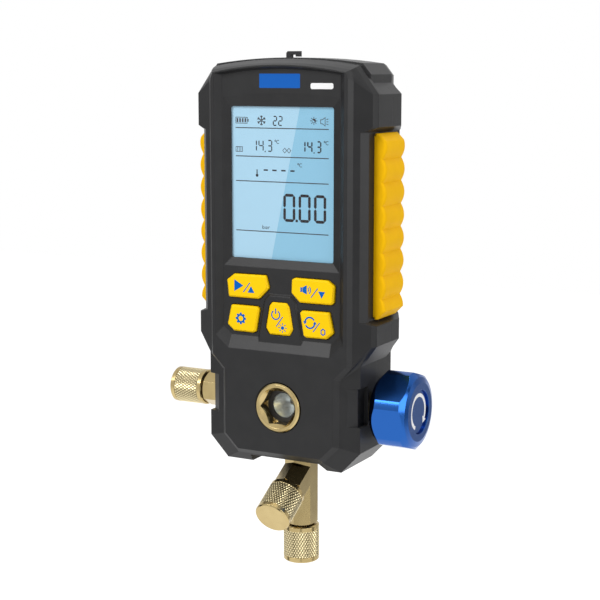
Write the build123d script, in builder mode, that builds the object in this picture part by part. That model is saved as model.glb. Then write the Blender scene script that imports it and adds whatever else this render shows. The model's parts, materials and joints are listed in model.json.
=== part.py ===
"""Digital refrigerant manifold gauge: a hand-held instrument on a brass one-valve manifold.

The origin is the centre of the stowed hanging hook's arch. X is across the case, Y runs back from
the front, Z is up, and every size is in millimetres. Depths count back from the front plane of
the case, and heights count up from the axis that the valve and the side port share.
"""
from math import cos, radians, sin, sqrt
from build123d import *
import os

# Datum planes and axes
FRONT_Y = -17.2          # front plane of the case
PORT_Z = -141.1          # axis of the valve and of the side port
SPLIT = 21.5             # depth of the seam between the shells, and of the port axes
BACK = 38.5              # depth of the flat back

# Shells
WALL = 2.5               # moulded wall
FLOOR = 2.5              # depth of the display and keypad recess
CAVITY_FRONT = 5.0       # depth where the hollow starts behind the display
LOW_CAVITY_FRONT = 7.0   # the same, behind the sight glass
SIDE_INNER = 36.0        # half width inside, beside the display
LOW_INNER = 32.8         # half width inside, beside the manifold
CROWN = 148.4            # height of the top's crown
FRONT_CROWN = 145.4      # the same, at the front plane
INNER_CROWN = 143.4      # height of the hollow's crown
FLANGE_X = 43.0          # half width over the corner guards
BODY_X = 36.75           # half width of the lower body
POCKET_X = 39.5          # half width at the grip pockets
POCKET_LOW = 39.6        # foot of the grip pockets
POCKET_HIGH = 118.0      # head of the grip pockets
FOOT_LOW = -26.3         # underside of the two feet
NOTCH_HIGH = -23.2       # underside between the feet

# Display
LCD_X = 24.5             # half width of the opening
LCD_LOW = 63.5
LCD_HIGH = 128.1
LCD_FLANK = 27.9         # half width where the sloping surround starts
WINDOW_DEPTH = 3.7       # depth of the window's outer face
LIP_BACK = 4.1           # depth of the back of the surround's lip
WINDOW_LAP = 1.5         # how far the window reaches behind the lip
WINDOW_BACK = 4.6
LCD_CORNER = 1.0         # radius of the opening's corners
FIT = 0.1                # small clearance between seated pieces
PANEL_THICK = 3.4
PANEL_X = 25.5
PANEL_LOW = 62.3
PANEL_HIGH = 129.3

# Board and keypad
BOARD_DEPTH = 8.2
BOARD_THICK = 1.6
BOARD_X = 27.0
BOARD_LOW = 27.5
BOARD_HIGH = 134.0
MAT_DEPTH = 6.95
MAT_HIGH = 57.5
KEY_FACE = 1.0           # depth of the key faces
KEY_GAP = 0.3            # round each key
KEY_RIM = 0.8            # width and thickness of the rim that keeps a key in
KEY_BEVEL = 0.7
KEY_CORNER = 0.9         # radius of the keys' corners
PLATFORM = 1.6           # depth of the raised platform round the power key

# Hex bars, ports and caps
HEX_AF = 12.7            # across flats of the brass bar
SIDE_AF = 14.0           # the same, of the side port and the bonnet
BRANCH_ANGLE = 60.0      # tilt of the charging branch from straight down
JUNCTION = -31.9         # height where the two bars cross
DOWN_HEX = 24.9          # bar below the crossing
SLANT_HEX = 14.5         # bar of the branch beyond the crossing
SIDE_HEX_END = 47.2      # end of the side port's bar from the middle
THREAD_R = 4.95          # root of the 7/16 inch flare thread
THREAD_LEN = 9.0
RELIEF_R = 4.7
RELIEF_LEN = 1.2
NOSE_LEN = 2.15          # flare cone
PORT_BORE_R = 2.4
BRANCH_BORE_R = 2.2      # bore of the charging branch
CAP_R = 8.0
CAP_LEN = 16.6
CAP_GAP = 0.3            # between a bar's end and its cap
CAP_BAND = 2.3           # plain band at each end of a cap
CAP_EDGE = 0.5           # chamfer at the cap's edges
KNURL_R = 7.75           # radius of a cap at the bottom of its knurling
CAP_BORE_R = 5.7
SEAL_R = 5.65
SEAL_THICK = 2.0

# Manifold block
BLOCK_X = 24.0           # half length
BLOCK_FRONT = 9.5        # depths of its faces
BLOCK_BACK = 33.5
BLOCK_HIGH = 13.0        # half height
PASSAGE_R = 2.0
STUD_R = 5.0             # fittings' threads into the block
STUD_LEN = 7.0
SENSOR_R = 7.0           # body of the pressure sensor
SENSOR_NECK_R = 4.5
SENSOR_BODY = 7.5        # height of its body
SENSOR_LEN = 10.0        # height of the whole sensor over the block
STUD_CLEAR = 0.05
SEAT_GAP = 0.3           # washer gap between block and fittings
CHAMBER_R = 4.2          # valve chamber
SEAT_X = -6.0            # edge of the valve seat

# Sight glass
COLLAR_R = 10.7
COLLAR_FACE = -1.0       # depth of the collar's face
COLLAR_CLEAR = 0.4       # between the collar and the case
COLLAR_EDGE = 0.6
COLLAR_SHOULDER = 9.3
COLLAR_STUD_R = 9.2
COLLAR_END = 15.0
SOCKET_AF = 14.6
COLLAR_MOUTH_R = 9.0     # mouth of the socket's countersink
SOCKET_BOTTOM = 5.0      # depth where the gasket starts
SIGHT_R = 7.6            # glass, gasket and reflector
SIGHT_VIEW_R = 5.4       # clear view
GASKET_THICK = 1.0
GLASS_THICK = 2.0

# Valve
NEEDLE_TIP = -7.47
NEEDLE_CONE = 3.0
NEEDLE_TIP_R = 1.0
NEEDLE_CONE_R = 3.0
NEEDLE_ROD_R = 2.6
PISTON_START = 8.0
PISTON_END = 14.0
PISTON_R = 4.1
STEM_START = 14.05
STEM_R = 3.0
STEM_CLEAR = 0.06
SQUARE_START = 45.0
SQUARE = 4.4             # stem's square under the knob
SQUARE_END = 52.0
BONNET_HEX_END = 31.0
BONNET_R = 6.3
BONNET_END = 38.4
PACKING_START = 33.0
PACKING_LEN = 3.0
PACKING_R = 4.6
KNOB_BASE = 39.7
KNOB_END = 57.0
KNOB_APEX_R = 18.3       # circumscribed radius of the sharp hexagon
KNOB_CORNER_R = 17.3     # radius of the narrow corner flats
KNOB_SHOULDER_R = 14.9
KNOB_FACE_R = 12.6
KNOB_FOOT_R = 14.2
KNOB_TAPER = 2.7
KNOB_SHOULDER = 0.7
KNOB_FOOT_TAPER = 3.4
KNOB_TURN = 18.0         # corner's angle above straight ahead
DISC_R = 9.4
DISC_SINK = 0.9
DISC_THICK = 0.6
KNOB_SCREW_R = 1.5
KNOB_SCREW_HEAD_R = 3.6
KNOB_SCREW_HEAD = 2.0

# Hanging hook
HOOK_DEPTH = -FRONT_Y    # the frame's origin lies in the middle of the hook's plate
HOOK_THICK = 2.4
HOOK_NEAR = HOOK_DEPTH - HOOK_THICK / 2
HOOK_FAR = HOOK_DEPTH + HOOK_THICK / 2
HOOK_R = 7.0             # outer radius of the arch
HOOK_MOUTH_R = 4.0
HOOK_MOUTH_LOW = -13.0
HOOK_TIP_LOW = -4.0
HOOK_STEM_LOW = -40.0    # foot of the stem from the arch's centre
HOOK_FOOT_X = 9.0        # half width of the stop at the foot
HOOK_FOOT_H = 3.0
HOOK_RISE = 25.0
HOOK_CLEAR = 0.3
GUIDE_WALL = 1.6
GUIDE_HIGH = -2.0
TAB_LEFT = -4.4          # left side of the finger tab
TAB_RIGHT = 1.8
TAB_HIGH = 10.0          # top of the tab from the arch's centre
TAB_BAR = 1.5
TAB_STEM = 2.2           # width of its stem and of its turned-down end
TAB_LIP = 2.3            # height of the turned-down end
HOOK_SLOT_LOW = 140.0    # height where the slot opens into the hollow

# Battery bay
CELL_R = 5.25
CELL_LEN = 43.5
CELL_NUB_R = 1.9
CELL_NUB = 1.0
CELL_PITCH = 10.8
CELL_RIM = 0.5           # bay's room beyond the cells and their contacts
CELL_SPRING = 2.75       # room at each end for contacts, springs and buttons
CELL_CLEAR = 0.45        # between the cells and the bay's floor
BAY_MIDDLE = 87.5
BAY_LOW = BAY_MIDDLE - CELL_LEN / 2 - CELL_SPRING - CELL_RIM
BAY_HIGH = BAY_MIDDLE + CELL_LEN / 2 + CELL_SPRING + CELL_RIM
BAY_X = CELL_PITCH * 1.5 + CELL_R + CELL_RIM
BAY_FRONT = 23.6         # depth of the bay's floor
CELL_DEPTH = BAY_FRONT + CELL_CLEAR + CELL_R
BAY_WALL = 1.6
CONTACT_THICK = 0.5
CONTACT_X = 4.4          # half width of a contact plate
CONTACT_Y = 4.0          # half depth of a contact plate
SPRING_R = 3.0
DOOR_FACE = 38.4
DOOR_THICK = 1.8
DOOR_LEDGE = 2.4         # how far the door laps the bay's walls
DOOR_GAP = 0.3
PIVOT_R = 0.7
PIVOT_LEN = 1.2
PIVOT_CLEAR = 0.08

# Grips
GRIP_CLEAR = 0.5         # between a grip and the ends of its pocket
GRIP_LOW = POCKET_LOW + GRIP_CLEAR
GRIP_HIGH = POCKET_HIGH - GRIP_CLEAR
GRIP_FRONT = 10.8
GRIP_BACK = 30.4
GRIP_X = 43.3            # half width over the grips
GRIP_END_X = 41.4        # the same, at their sloping ends
GRIP_SLOPE = 3.4         # height of the sloping ends
GRIP_EDGE = 1.2
GRIP_GROOVES = 7
GRIP_PITCH = 9.7
GRIP_GROOVE_R = 3.1
GRIP_GROOVE_SINK = 1.1
GRIP_FIRST = 48.8        # height of the lowest groove

# Screws
BOSS_R = 3.4
SCREW_R = 1.4
SCREW_CLEAR = 0.1
SCREW_HEAD_R = 2.7
SCREW_HEAD = 1.8
SCREW_LEN = 22.0
SCREW_BITE = 6.5         # depth of the case screws' holes in the front shell
DRIVER = 3.2             # across the cross recess of a screw's head
SCREW_SINK = 2.4         # depth of the head's seat below the back
BOARD_SCREW_R = 1.0
BOARD_BOSS_R = 1.9
BLOCK_SCREW_LEN = 9.5

CASE_SCREWS = [(30.5, 133.0), (31.0, 27.0), (28.2, -14.5)]
BOARD_SCREWS = [(23.5, 132.0), (23.5, 59.9)]
BLOCK_SCREWS = [(17.5, 8.5)]



TO_BACK = (0, 1, 0)


def height(h):
    """Z of a height above the port axis."""
    return PORT_Z + h


def face_plane(depth):
    """Upright plane across the object at a depth. Its own y is Z."""
    return Plane.XZ.offset(-(FRONT_Y + depth))


def side_plane(x):
    """Plane square to X. Its own x is Y and its own y is Z."""
    return Plane.YZ.offset(x)


def level_plane(h):
    """Level plane at a height. Its own y is Y."""
    return Plane.XY.offset(height(h))


AXIS_Y = FRONT_Y + SPLIT
SIDE_AXIS = (AXIS_Y, PORT_Z)


def polygon(points):
    """Face through points given as X and height."""
    with BuildLine() as line:
        Polyline(*[(x, height(h)) for x, h in points], close=True)
    make_face(line.edges())


def arched(right, crown, rounds=()):
    """Outline with an arched top from its right half, read from the arch's end down.

    rounds gives the radii of its first corners on each side.
    """
    points = [(x, height(h)) for x, h in right]
    left = [(-x, z) for x, z in reversed(points)]
    with BuildLine() as line:
        ThreePointArc(left[-1], (0, height(crown)), points[0])
        Polyline(*points, *left)
    face = make_face(line.edges())
    for (x, z), radius in zip(points, rounds):
        corners = face.vertices().filter_by(lambda v: abs(abs(v.X) - x) < 0.01 and abs(v.Z - z) < 0.01)
        face = fillet(corners, radius)


def arched_loft(near, near_right, near_crown, far, far_right, far_crown, mode=Mode.ADD, rounds=()):
    """Straight-sided body between two arched outlines at two depths."""
    with BuildSketch(face_plane(near)) as front:
        arched(near_right, near_crown, rounds)
    with BuildSketch(face_plane(far)) as back:
        arched(far_right, far_crown, rounds)
    loft([front.sketch, back.sketch], ruled=True, mode=mode)


def arched_slab(near, far, right, crown, mode=Mode.ADD, rounds=()):
    with BuildSketch(face_plane(near)) as front:
        arched(right, crown, rounds)
    extrude(front.sketch, amount=far - near, dir=TO_BACK, mode=mode)


def slab(near, far, points, mode=Mode.ADD):
    """Prism from one depth to another over a polygon of X and height."""
    with BuildSketch(face_plane(near)) as front:
        polygon(points)
    extrude(front.sketch, amount=far - near, dir=TO_BACK, mode=mode)


def box_slab(near, far, half_width, low, high, mode=Mode.ADD, x=0.0):
    slab(near, far, [(x - half_width, low), (x + half_width, low), (x + half_width, high),
                     (x - half_width, high)], mode)


def rounded_slab(near, far, half_width, low, high, corner, mode=Mode.ADD):
    """Plate with rounded corners between two depths."""
    with BuildSketch(face_plane(near)) as front:
        with Locations((0, height((low + high) / 2))):
            RectangleRounded(2 * half_width, high - low, corner)
    extrude(front.sketch, amount=far - near, dir=TO_BACK, mode=mode)


def peg(near, far, radius, x, h, mode=Mode.ADD):
    """Cylinder along Y between two depths."""
    with BuildSketch(face_plane(near)) as front:
        with Locations((x, height(h))):
            Circle(radius)
    extrude(front.sketch, amount=far - near, dir=TO_BACK, mode=mode)


def bar_x(start, end, radius, mode=Mode.ADD, centre=SIDE_AXIS):
    """Cylinder along X between two positions."""
    with BuildSketch(side_plane(start)) as disc:
        with Locations(centre):
            Circle(radius)
    extrude(disc.sketch, amount=end - start, mode=mode)


def bar_z(low, high, radius, mode=Mode.ADD, centre=(0, AXIS_Y)):
    """Cylinder along Z between two heights."""
    with BuildSketch(level_plane(low)) as disc:
        with Locations(centre):
            Circle(radius)
    extrude(disc.sketch, amount=high - low, mode=mode)


def lathe(plane, points, mode=Mode.ADD):
    """Turned body: points are (along, radius) on a plane whose x is the axis."""
    with BuildSketch(plane) as profile:
        with BuildLine() as line:
            Polyline(*points, close=True)
        make_face(line.edges())
    revolve(profile.sketch, axis=Axis(plane.origin, plane.x_dir), mode=mode)


def write(part, name):
    part.label = name
    export_step(part, "parts/" + name + ".step")


os.makedirs("parts", exist_ok=True)
SIDES = (1, -1)

# Outlines of the case, from the arch's end down the right-hand side
PLATE = [(31.4, 142.3), (32.4, 139.6), (32.4, 21.0), (26.3, 14.8), (26.3, -14.0), (20.0, -20.3)]
PLATE_FOOT = [(32.9, 143.3), (34.2, 138.6), (34.2, 20.2), (28.4, 14.0), (28.4, -14.9), (20.9, -22.4)]
SHOULDER = [(33.8, 144.3), (41.6, 133.4), (41.6, 29.2), (BODY_X, 20.5), (BODY_X, -17.1), (28.0, FOOT_LOW)]
GUARD = [(34.2, 145.0), (FLANGE_X, 133.4), (FLANGE_X, 29.2), (BODY_X, 20.5), (BODY_X, -17.1),
         (28.0, FOOT_LOW)]
BLOCKED = [(34.6, 146.0), (38.4, 141.4), (38.4, 138.0), (FLANGE_X, 133.4), (FLANGE_X, 29.2),
           (BODY_X, 20.5), (BODY_X, -17.1), (28.0, FOOT_LOW)]
REAR = [(33.4, 145.2), (36.8, 141.0), (36.8, 137.4), (40.2, 133.0), (40.2, 29.6),
        (BODY_X, 22.0), (BODY_X, -17.1), (28.0, FOOT_LOW)]
BACK_FACE = [(30.8, 142.6), (34.0, 138.4), (34.0, 135.6), (37.2, 132.0), (37.2, 31.0),
             (BODY_X - 3.0, 23.4), (BODY_X - 3.0, -15.9), (26.7, -23.3)]
SHOULDER_ROUNDS = (6.5, 5.0)
PLATE_FOOT_DEPTH = 2.1
SHOULDER_DEPTH = 5.0
GUARD_DEPTH = 7.5
BLOCKED_DEPTH = 9.6
TAPER_DEPTH = 30.0
RECESS = [(30.9, 141.9), (30.9, 29.5), (24.5, 24.1)]
RECESS_CROWN = 144.7
RECESS_FLOOR = [(28.2, 141.2), (28.2, 33.3), (24.2, 29.8)]
RECESS_FLOOR_CROWN = 143.5
PLATFORM_TOP = [(-4.9, 48.0), (4.9, 48.0), (7.0, 45.9), (10.4, 27.0), (-10.4, 27.0), (-7.0, 45.9)]
PLATFORM_FOOT = [(-5.3, 48.9), (5.3, 48.9), (7.9, 46.3), (11.4, 27.0), (-11.4, 27.0), (-7.9, 46.3)]
REAR_DEPTH = 35.5
HOLLOW = [(31.0, 141.2), (SIDE_INNER, 131.5), (SIDE_INNER, 25.0), (LOW_INNER, 22.0)]
LOW_HOLLOW = [(-LOW_INNER, 23.0), (LOW_INNER, 23.0), (LOW_INNER, -16.4), (28.6, -20.5),
              (-28.6, -20.5), (-LOW_INNER, -16.4)]
NOTCH = [(-15.2, NOTCH_HIGH), (18.4, NOTCH_HIGH), (22.0, FOOT_LOW - 1), (-15.2, FOOT_LOW - 1)]


def grip_pockets(near, far, inner, mode=Mode.SUBTRACT):
    """The long side pockets that the grips sit in, with sloping ends."""
    for side in SIDES:
        slab(near, far, [(side * inner, POCKET_LOW), (side * inner, POCKET_HIGH),
                         (side * 46, POCKET_HIGH + 4.0), (side * 46, POCKET_LOW - 3.2)], mode)


def case_passages():
    """Holes that the brass passes through."""
    bar_x(-50, 0, SIDE_AF / sqrt(3) + 0.4, Mode.SUBTRACT)
    bar_x(0, 50, BONNET_R + 0.4, Mode.SUBTRACT)
    bar_z(-40, 0, HEX_AF / sqrt(3) + 0.4, Mode.SUBTRACT)


def screw_towers(near, far, radius, mode=Mode.ADD):
    for x, h in CASE_SCREWS:
        for side in SIDES:
            peg(near, far, radius, side * x, h, mode)


# Keys, in X and height, read clockwise or anticlockwise from the upper left corner
KEY_SHAPES = {
    "key_start_up": [(-22.2, 56.5), (-6.6, 56.7), (-5.2, 51.3), (-10.1, 46.4), (-25.0, 46.4), (-25.8, 53.8)],
    "key_sound_down": [(7.4, 56.6), (22.9, 56.5), (26.2, 54.2), (25.8, 47.2), (24.5, 46.3), (9.8, 46.3),
                       (5.8, 50.1), (6.0, 55.8)],
    "key_settings": [(-23.7, 43.0), (-10.9, 42.9), (-9.9, 41.9), (-11.6, 32.2), (-12.9, 31.5), (-22.4, 31.6),
                     (-25.7, 34.3)],
    "key_power_light": [(-3.5, 45.5), (3.5, 45.5), (4.8, 43.8), (6.5, 34.3), (4.8, 31.5), (-4.8, 31.5),
                        (-6.5, 34.3), (-4.8, 43.8)],
    "key_cycle_zero": [(23.7, 43.0), (10.9, 42.9), (9.9, 41.9), (11.6, 32.2), (12.9, 31.5), (22.4, 31.6),
                       (25.7, 34.3)],
}


def key_area(depth, points, by):
    """Sketch of a key's outline at a depth, grown or shrunk by an offset, with rounded corners."""
    with BuildSketch(face_plane(depth)) as area:
        polygon(points)
        offset(amount=by, kind=Kind.INTERSECTION)
        fillet(area.vertices(), KEY_CORNER + by / 2)
    return area.sketch


# Front shell
with BuildPart() as front_case:
    arched_loft(0, PLATE, FRONT_CROWN, PLATE_FOOT_DEPTH, PLATE_FOOT, FRONT_CROWN + 0.8)
    arched_loft(PLATE_FOOT_DEPTH, PLATE_FOOT, FRONT_CROWN + 0.8, SHOULDER_DEPTH, SHOULDER, FRONT_CROWN + 1.6)
    arched_loft(SHOULDER_DEPTH, SHOULDER, FRONT_CROWN + 1.6, GUARD_DEPTH, GUARD, FRONT_CROWN + 2.4)
    arched_slab(GUARD_DEPTH, BLOCKED_DEPTH, GUARD, FRONT_CROWN + 2.4)
    arched_slab(BLOCKED_DEPTH, SPLIT, BLOCKED, CROWN, rounds=SHOULDER_ROUNDS)
    # Pockets for the grips, with a sloping front lip
    for side in SIDES:
        with BuildSketch(face_plane(3.0)) as lip:
            polygon([(side * 36.7, POCKET_LOW), (side * 36.7, POCKET_HIGH),
                     (side * 46, POCKET_HIGH + 4.9), (side * 46, POCKET_LOW - 3.9)])
        with BuildSketch(face_plane(6.1)) as wall:
            polygon([(side * POCKET_X, POCKET_LOW), (side * POCKET_X, POCKET_HIGH),
                     (side * 46, POCKET_HIGH + 4.0), (side * 46, POCKET_LOW - 3.2)])
        loft([lip.sketch, wall.sketch], ruled=True, mode=Mode.SUBTRACT)
    grip_pockets(6.1, SPLIT, POCKET_X)
    # Recess of the display and keypad
    arched_loft(0, RECESS, RECESS_CROWN, FLOOR, RECESS_FLOOR, RECESS_FLOOR_CROWN, Mode.SUBTRACT)
    # Raised platform round the power key
    with BuildSketch(face_plane(PLATFORM)) as platform_top:
        polygon(PLATFORM_TOP)
    with BuildSketch(face_plane(FLOOR)) as platform_foot:
        polygon(PLATFORM_FOOT)
    loft([platform_top.sketch, platform_foot.sketch], ruled=True)
    # Sloping surround of the display
    with BuildSketch(face_plane(FLOOR)) as flank:
        arched([(LCD_FLANK, 131.8), (LCD_FLANK, 59.8)], 133.7)
    with BuildSketch(face_plane(WINDOW_DEPTH)) as rim:
        polygon([(-LCD_X, LCD_HIGH), (LCD_X, LCD_HIGH), (LCD_X, LCD_LOW), (-LCD_X, LCD_LOW)])
    loft([flank.sketch, rim.sketch], ruled=True, mode=Mode.SUBTRACT)
    rounded_slab(WINDOW_DEPTH - 0.1, CAVITY_FRONT + 0.1, LCD_X, LCD_LOW, LCD_HIGH, LCD_CORNER, Mode.SUBTRACT)
    # Hollow
    arched_slab(CAVITY_FRONT, SPLIT, HOLLOW, INNER_CROWN, Mode.SUBTRACT)
    slab(LOW_CAVITY_FRONT, SPLIT, LOW_HOLLOW, Mode.SUBTRACT)
    box_slab(LIP_BACK, CAVITY_FRONT + 0.1, LCD_X + WINDOW_LAP + 0.3, LCD_LOW - WINDOW_LAP - 0.3,
             LCD_HIGH + WINDOW_LAP + 0.3, Mode.SUBTRACT)
    # Key openings
    for points in KEY_SHAPES.values():
        extrude(key_area(0.5, points, KEY_GAP), amount=CAVITY_FRONT, dir=TO_BACK, mode=Mode.SUBTRACT)
    # Opening of the sight glass
    peg(-1, SPLIT, COLLAR_R + COLLAR_CLEAR, 0, 0, Mode.SUBTRACT)
    # Shallow side recesses beside the ports
    for side in SIDES:
        with BuildSketch(level_plane(-5.8)) as relief:
            with BuildLine() as line:
                Polyline((side * 31.5, FRONT_Y + 3.2), (side * 35.1, FRONT_Y + 6.0),
                         (side * 35.1, FRONT_Y + 12.5), (side * 38, FRONT_Y + 12.5),
                         (side * 38, FRONT_Y + 1.0), (side * 31.5, FRONT_Y + 1.0), close=True)
            make_face(line.edges())
        extrude(relief.sketch, amount=16.8, mode=Mode.SUBTRACT)
    slab(-1, SPLIT, NOTCH, Mode.SUBTRACT)
    case_passages()
    # Slot of the hanging hook
    box_slab(HOOK_NEAR - HOOK_CLEAR, HOOK_FAR + HOOK_CLEAR, HOOK_R + HOOK_CLEAR, HOOK_SLOT_LOW, CROWN + 1,
             Mode.SUBTRACT)
    # Screw towers
    screw_towers(CAVITY_FRONT - 0.5, SPLIT, BOSS_R)
    screw_towers(SPLIT - SCREW_BITE, SPLIT, SCREW_R + SCREW_CLEAR, Mode.SUBTRACT)
    for x, h in BOARD_SCREWS:
        for side in SIDES:
            peg(CAVITY_FRONT - 0.5, BOARD_DEPTH - FIT, BOARD_BOSS_R, side * x, h)
            peg(CAVITY_FRONT - 0.5, BOARD_DEPTH, BOARD_SCREW_R + SCREW_CLEAR, side * x, h, Mode.SUBTRACT)
write(front_case.part, "front_case")

# Rear shell with the battery bay
with BuildPart() as rear_case:
    arched_slab(SPLIT, TAPER_DEPTH, BLOCKED, CROWN, rounds=SHOULDER_ROUNDS)
    arched_loft(TAPER_DEPTH, BLOCKED, CROWN, REAR_DEPTH, REAR, CROWN - 1.0, rounds=SHOULDER_ROUNDS)
    arched_loft(REAR_DEPTH, REAR, CROWN - 1.0, BACK, BACK_FACE, CROWN - 4.0, rounds=SHOULDER_ROUNDS)
    grip_pockets(SPLIT, BACK + 1, POCKET_X)
    arched_slab(SPLIT, BACK - WALL, HOLLOW, INNER_CROWN, Mode.SUBTRACT)
    slab(SPLIT, BACK - WALL, LOW_HOLLOW, Mode.SUBTRACT)
    slab(SPLIT, BACK + 1, NOTCH, Mode.SUBTRACT)
    case_passages()
    # Battery bay
    box_slab(BAY_FRONT - BAY_WALL, BACK - WALL + 0.1, BAY_X + BAY_WALL, BAY_LOW - BAY_WALL,
             BAY_HIGH + BAY_WALL)
    box_slab(BAY_FRONT, BACK + 1, BAY_X, BAY_LOW, BAY_HIGH, Mode.SUBTRACT)
    box_slab(DOOR_FACE - DOOR_THICK - 0.1, BACK + 1, BAY_X + DOOR_LEDGE + DOOR_GAP,
             BAY_LOW - DOOR_LEDGE - DOOR_GAP, BAY_HIGH + DOOR_LEDGE + DOOR_GAP, Mode.SUBTRACT)
    # Screw towers, with seats sunk in the back
    screw_towers(SPLIT, BACK - WALL + 0.1, BOSS_R)
    screw_towers(SPLIT - 1, BACK + 1, SCREW_R + SCREW_CLEAR, Mode.SUBTRACT)
    screw_towers(BACK - SCREW_SINK, BACK + 1, SCREW_HEAD_R + SCREW_CLEAR, Mode.SUBTRACT)
    for x, h in BLOCK_SCREWS:
        for side in SIDES:
            peg(BLOCK_BACK + FIT, BACK - WALL + 0.1, BOSS_R, side * x, h)
            peg(BLOCK_BACK - 1, BACK + 1, SCREW_R + SCREW_CLEAR, side * x, h, Mode.SUBTRACT)
            peg(BACK - SCREW_SINK, BACK + 1, SCREW_HEAD_R + SCREW_CLEAR, side * x, h, Mode.SUBTRACT)
    # Sockets of the battery door's pivots
    pivot_y = FRONT_Y + DOOR_FACE - DOOR_THICK / 2
    pivot_z = height(BAY_LOW - DOOR_LEDGE + DOOR_THICK / 2)
    door_x = BAY_X + DOOR_LEDGE
    for side in SIDES:
        bar_x(side * (door_x - 0.5), side * (door_x + PIVOT_LEN + FIT), PIVOT_R + PIVOT_CLEAR, Mode.SUBTRACT,
              (pivot_y, pivot_z))
write(rear_case.part, "rear_case")




# Display window, panel and boards
with BuildPart() as lcd_window:
    rounded_slab(WINDOW_DEPTH, WINDOW_BACK, LCD_X - FIT, LCD_LOW + FIT, LCD_HIGH - FIT, LCD_CORNER)
    box_slab(LIP_BACK + 0.02, WINDOW_BACK, LCD_X + WINDOW_LAP, LCD_LOW - WINDOW_LAP, LCD_HIGH + WINDOW_LAP)
write(lcd_window.part, "lcd_window")

with BuildPart() as lcd_panel:
    box_slab(WINDOW_BACK + 0.05, WINDOW_BACK + 0.05 + PANEL_THICK, PANEL_X, PANEL_LOW, PANEL_HIGH)
write(lcd_panel.part, "lcd_panel")

BOARD_BACK = BOARD_DEPTH + BOARD_THICK
with BuildPart() as main_board:
    box_slab(BOARD_DEPTH, BOARD_BACK, BOARD_X, BOARD_LOW, BOARD_HIGH)
    for x, h in BOARD_SCREWS:
        for side in SIDES:
            peg(BOARD_DEPTH - 1, BOARD_BACK + 1, BOARD_SCREW_R + SCREW_CLEAR, side * x, h, Mode.SUBTRACT)
write(main_board.part, "main_board")

with BuildPart() as processor:
    box_slab(BOARD_BACK + 0.05, BOARD_BACK + 1.5, 6, 72, 84, x=8)
write(processor.part, "processor")

with BuildPart() as buzzer:
    peg(BOARD_BACK + 0.05, BOARD_BACK + 4.5, 6, -15, 45)
    peg(BOARD_BACK + 4.0, BOARD_BACK + 5, 1.2, -15, 45, Mode.SUBTRACT)
write(buzzer.part, "buzzer")

with BuildPart() as keypad_mat:
    box_slab(MAT_DEPTH, BOARD_DEPTH - 0.05, BOARD_X, BOARD_LOW, MAT_HIGH)
write(keypad_mat.part, "keypad_mat")

# Keys: a bevelled cap in the opening and a wider rim behind it
RIM_START = CAVITY_FRONT + 0.05
for name, points in KEY_SHAPES.items():
    with BuildPart() as key:
        top = key_area(KEY_FACE, points, -KEY_BEVEL)
        edge = key_area(KEY_FACE + KEY_BEVEL, points, 0)
        loft([top, edge], ruled=True)
        extrude(edge, amount=RIM_START - KEY_FACE - KEY_BEVEL, dir=TO_BACK)
        extrude(key_area(RIM_START, points, KEY_RIM), amount=KEY_RIM, dir=TO_BACK)
    write(key.part, name)

# Grips, one piece each, with scooped finger grooves
for name, side in (("grip_right", 1), ("grip_left", -1)):
    with BuildPart() as grip:
        inner = POCKET_X + 0.05
        slab(GRIP_FRONT, GRIP_BACK, [(side * inner, GRIP_LOW), (side * GRIP_END_X, GRIP_LOW),
                                     (side * GRIP_X, GRIP_LOW + GRIP_SLOPE),
                                     (side * GRIP_X, GRIP_HIGH - GRIP_SLOPE),
                                     (side * GRIP_END_X, GRIP_HIGH), (side * inner, GRIP_HIGH)])
        for face in (grip.faces().sort_by(Axis.Y)[0], grip.faces().sort_by(Axis.Y)[-1]):
            chamfer(face.edges().filter_by(lambda e: abs(e.center().X) > inner + 0.1), GRIP_EDGE)
        for i in range(GRIP_GROOVES):
            h = GRIP_FIRST + i * GRIP_PITCH
            groove_x = GRIP_X + GRIP_GROOVE_R - GRIP_GROOVE_SINK
            peg(GRIP_FRONT - 1, GRIP_BACK + 1, GRIP_GROOVE_R, side * groove_x, h, Mode.SUBTRACT)
    write(grip.part, name)

# Manifold block with its drilled passages
with BuildPart() as manifold_block:
    box_slab(BLOCK_FRONT, BLOCK_BACK, BLOCK_X, -BLOCK_HIGH, BLOCK_HIGH)
    chamfer(manifold_block.edges(), 0.6)
    bar_x(-BLOCK_X - 1, -BLOCK_X + STUD_LEN + 0.3, STUD_R + STUD_CLEAR, Mode.SUBTRACT)
    bar_x(-BLOCK_X, SEAT_X, PASSAGE_R, Mode.SUBTRACT)
    bar_x(SEAT_X, BLOCK_X + 1, CHAMBER_R, Mode.SUBTRACT)
    bar_x(BLOCK_X - STUD_LEN - 0.3, BLOCK_X + 1, STUD_R + STUD_CLEAR, Mode.SUBTRACT)
    bar_z(-BLOCK_HIGH - 1, BLOCK_HIGH + 1, PASSAGE_R, Mode.SUBTRACT)
    bar_z(-BLOCK_HIGH - 1, -BLOCK_HIGH + STUD_LEN, STUD_R + STUD_CLEAR, Mode.SUBTRACT)
    bar_z(BLOCK_HIGH - STUD_LEN, BLOCK_HIGH + 1, STUD_R + STUD_CLEAR, Mode.SUBTRACT)
    peg(BLOCK_FRONT - 1, COLLAR_END + 0.3, COLLAR_STUD_R + STUD_CLEAR, 0, 0, Mode.SUBTRACT)
    peg(COLLAR_END, SPLIT, PASSAGE_R, 0, 0, Mode.SUBTRACT)
    for x, h in BLOCK_SCREWS:
        for side in SIDES:
            peg(BLOCK_BACK - BLOCK_SCREW_LEN + 3, BLOCK_BACK + 1, SCREW_R + 0.05, side * x, h, Mode.SUBTRACT)
write(manifold_block.part, "manifold_block")

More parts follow.
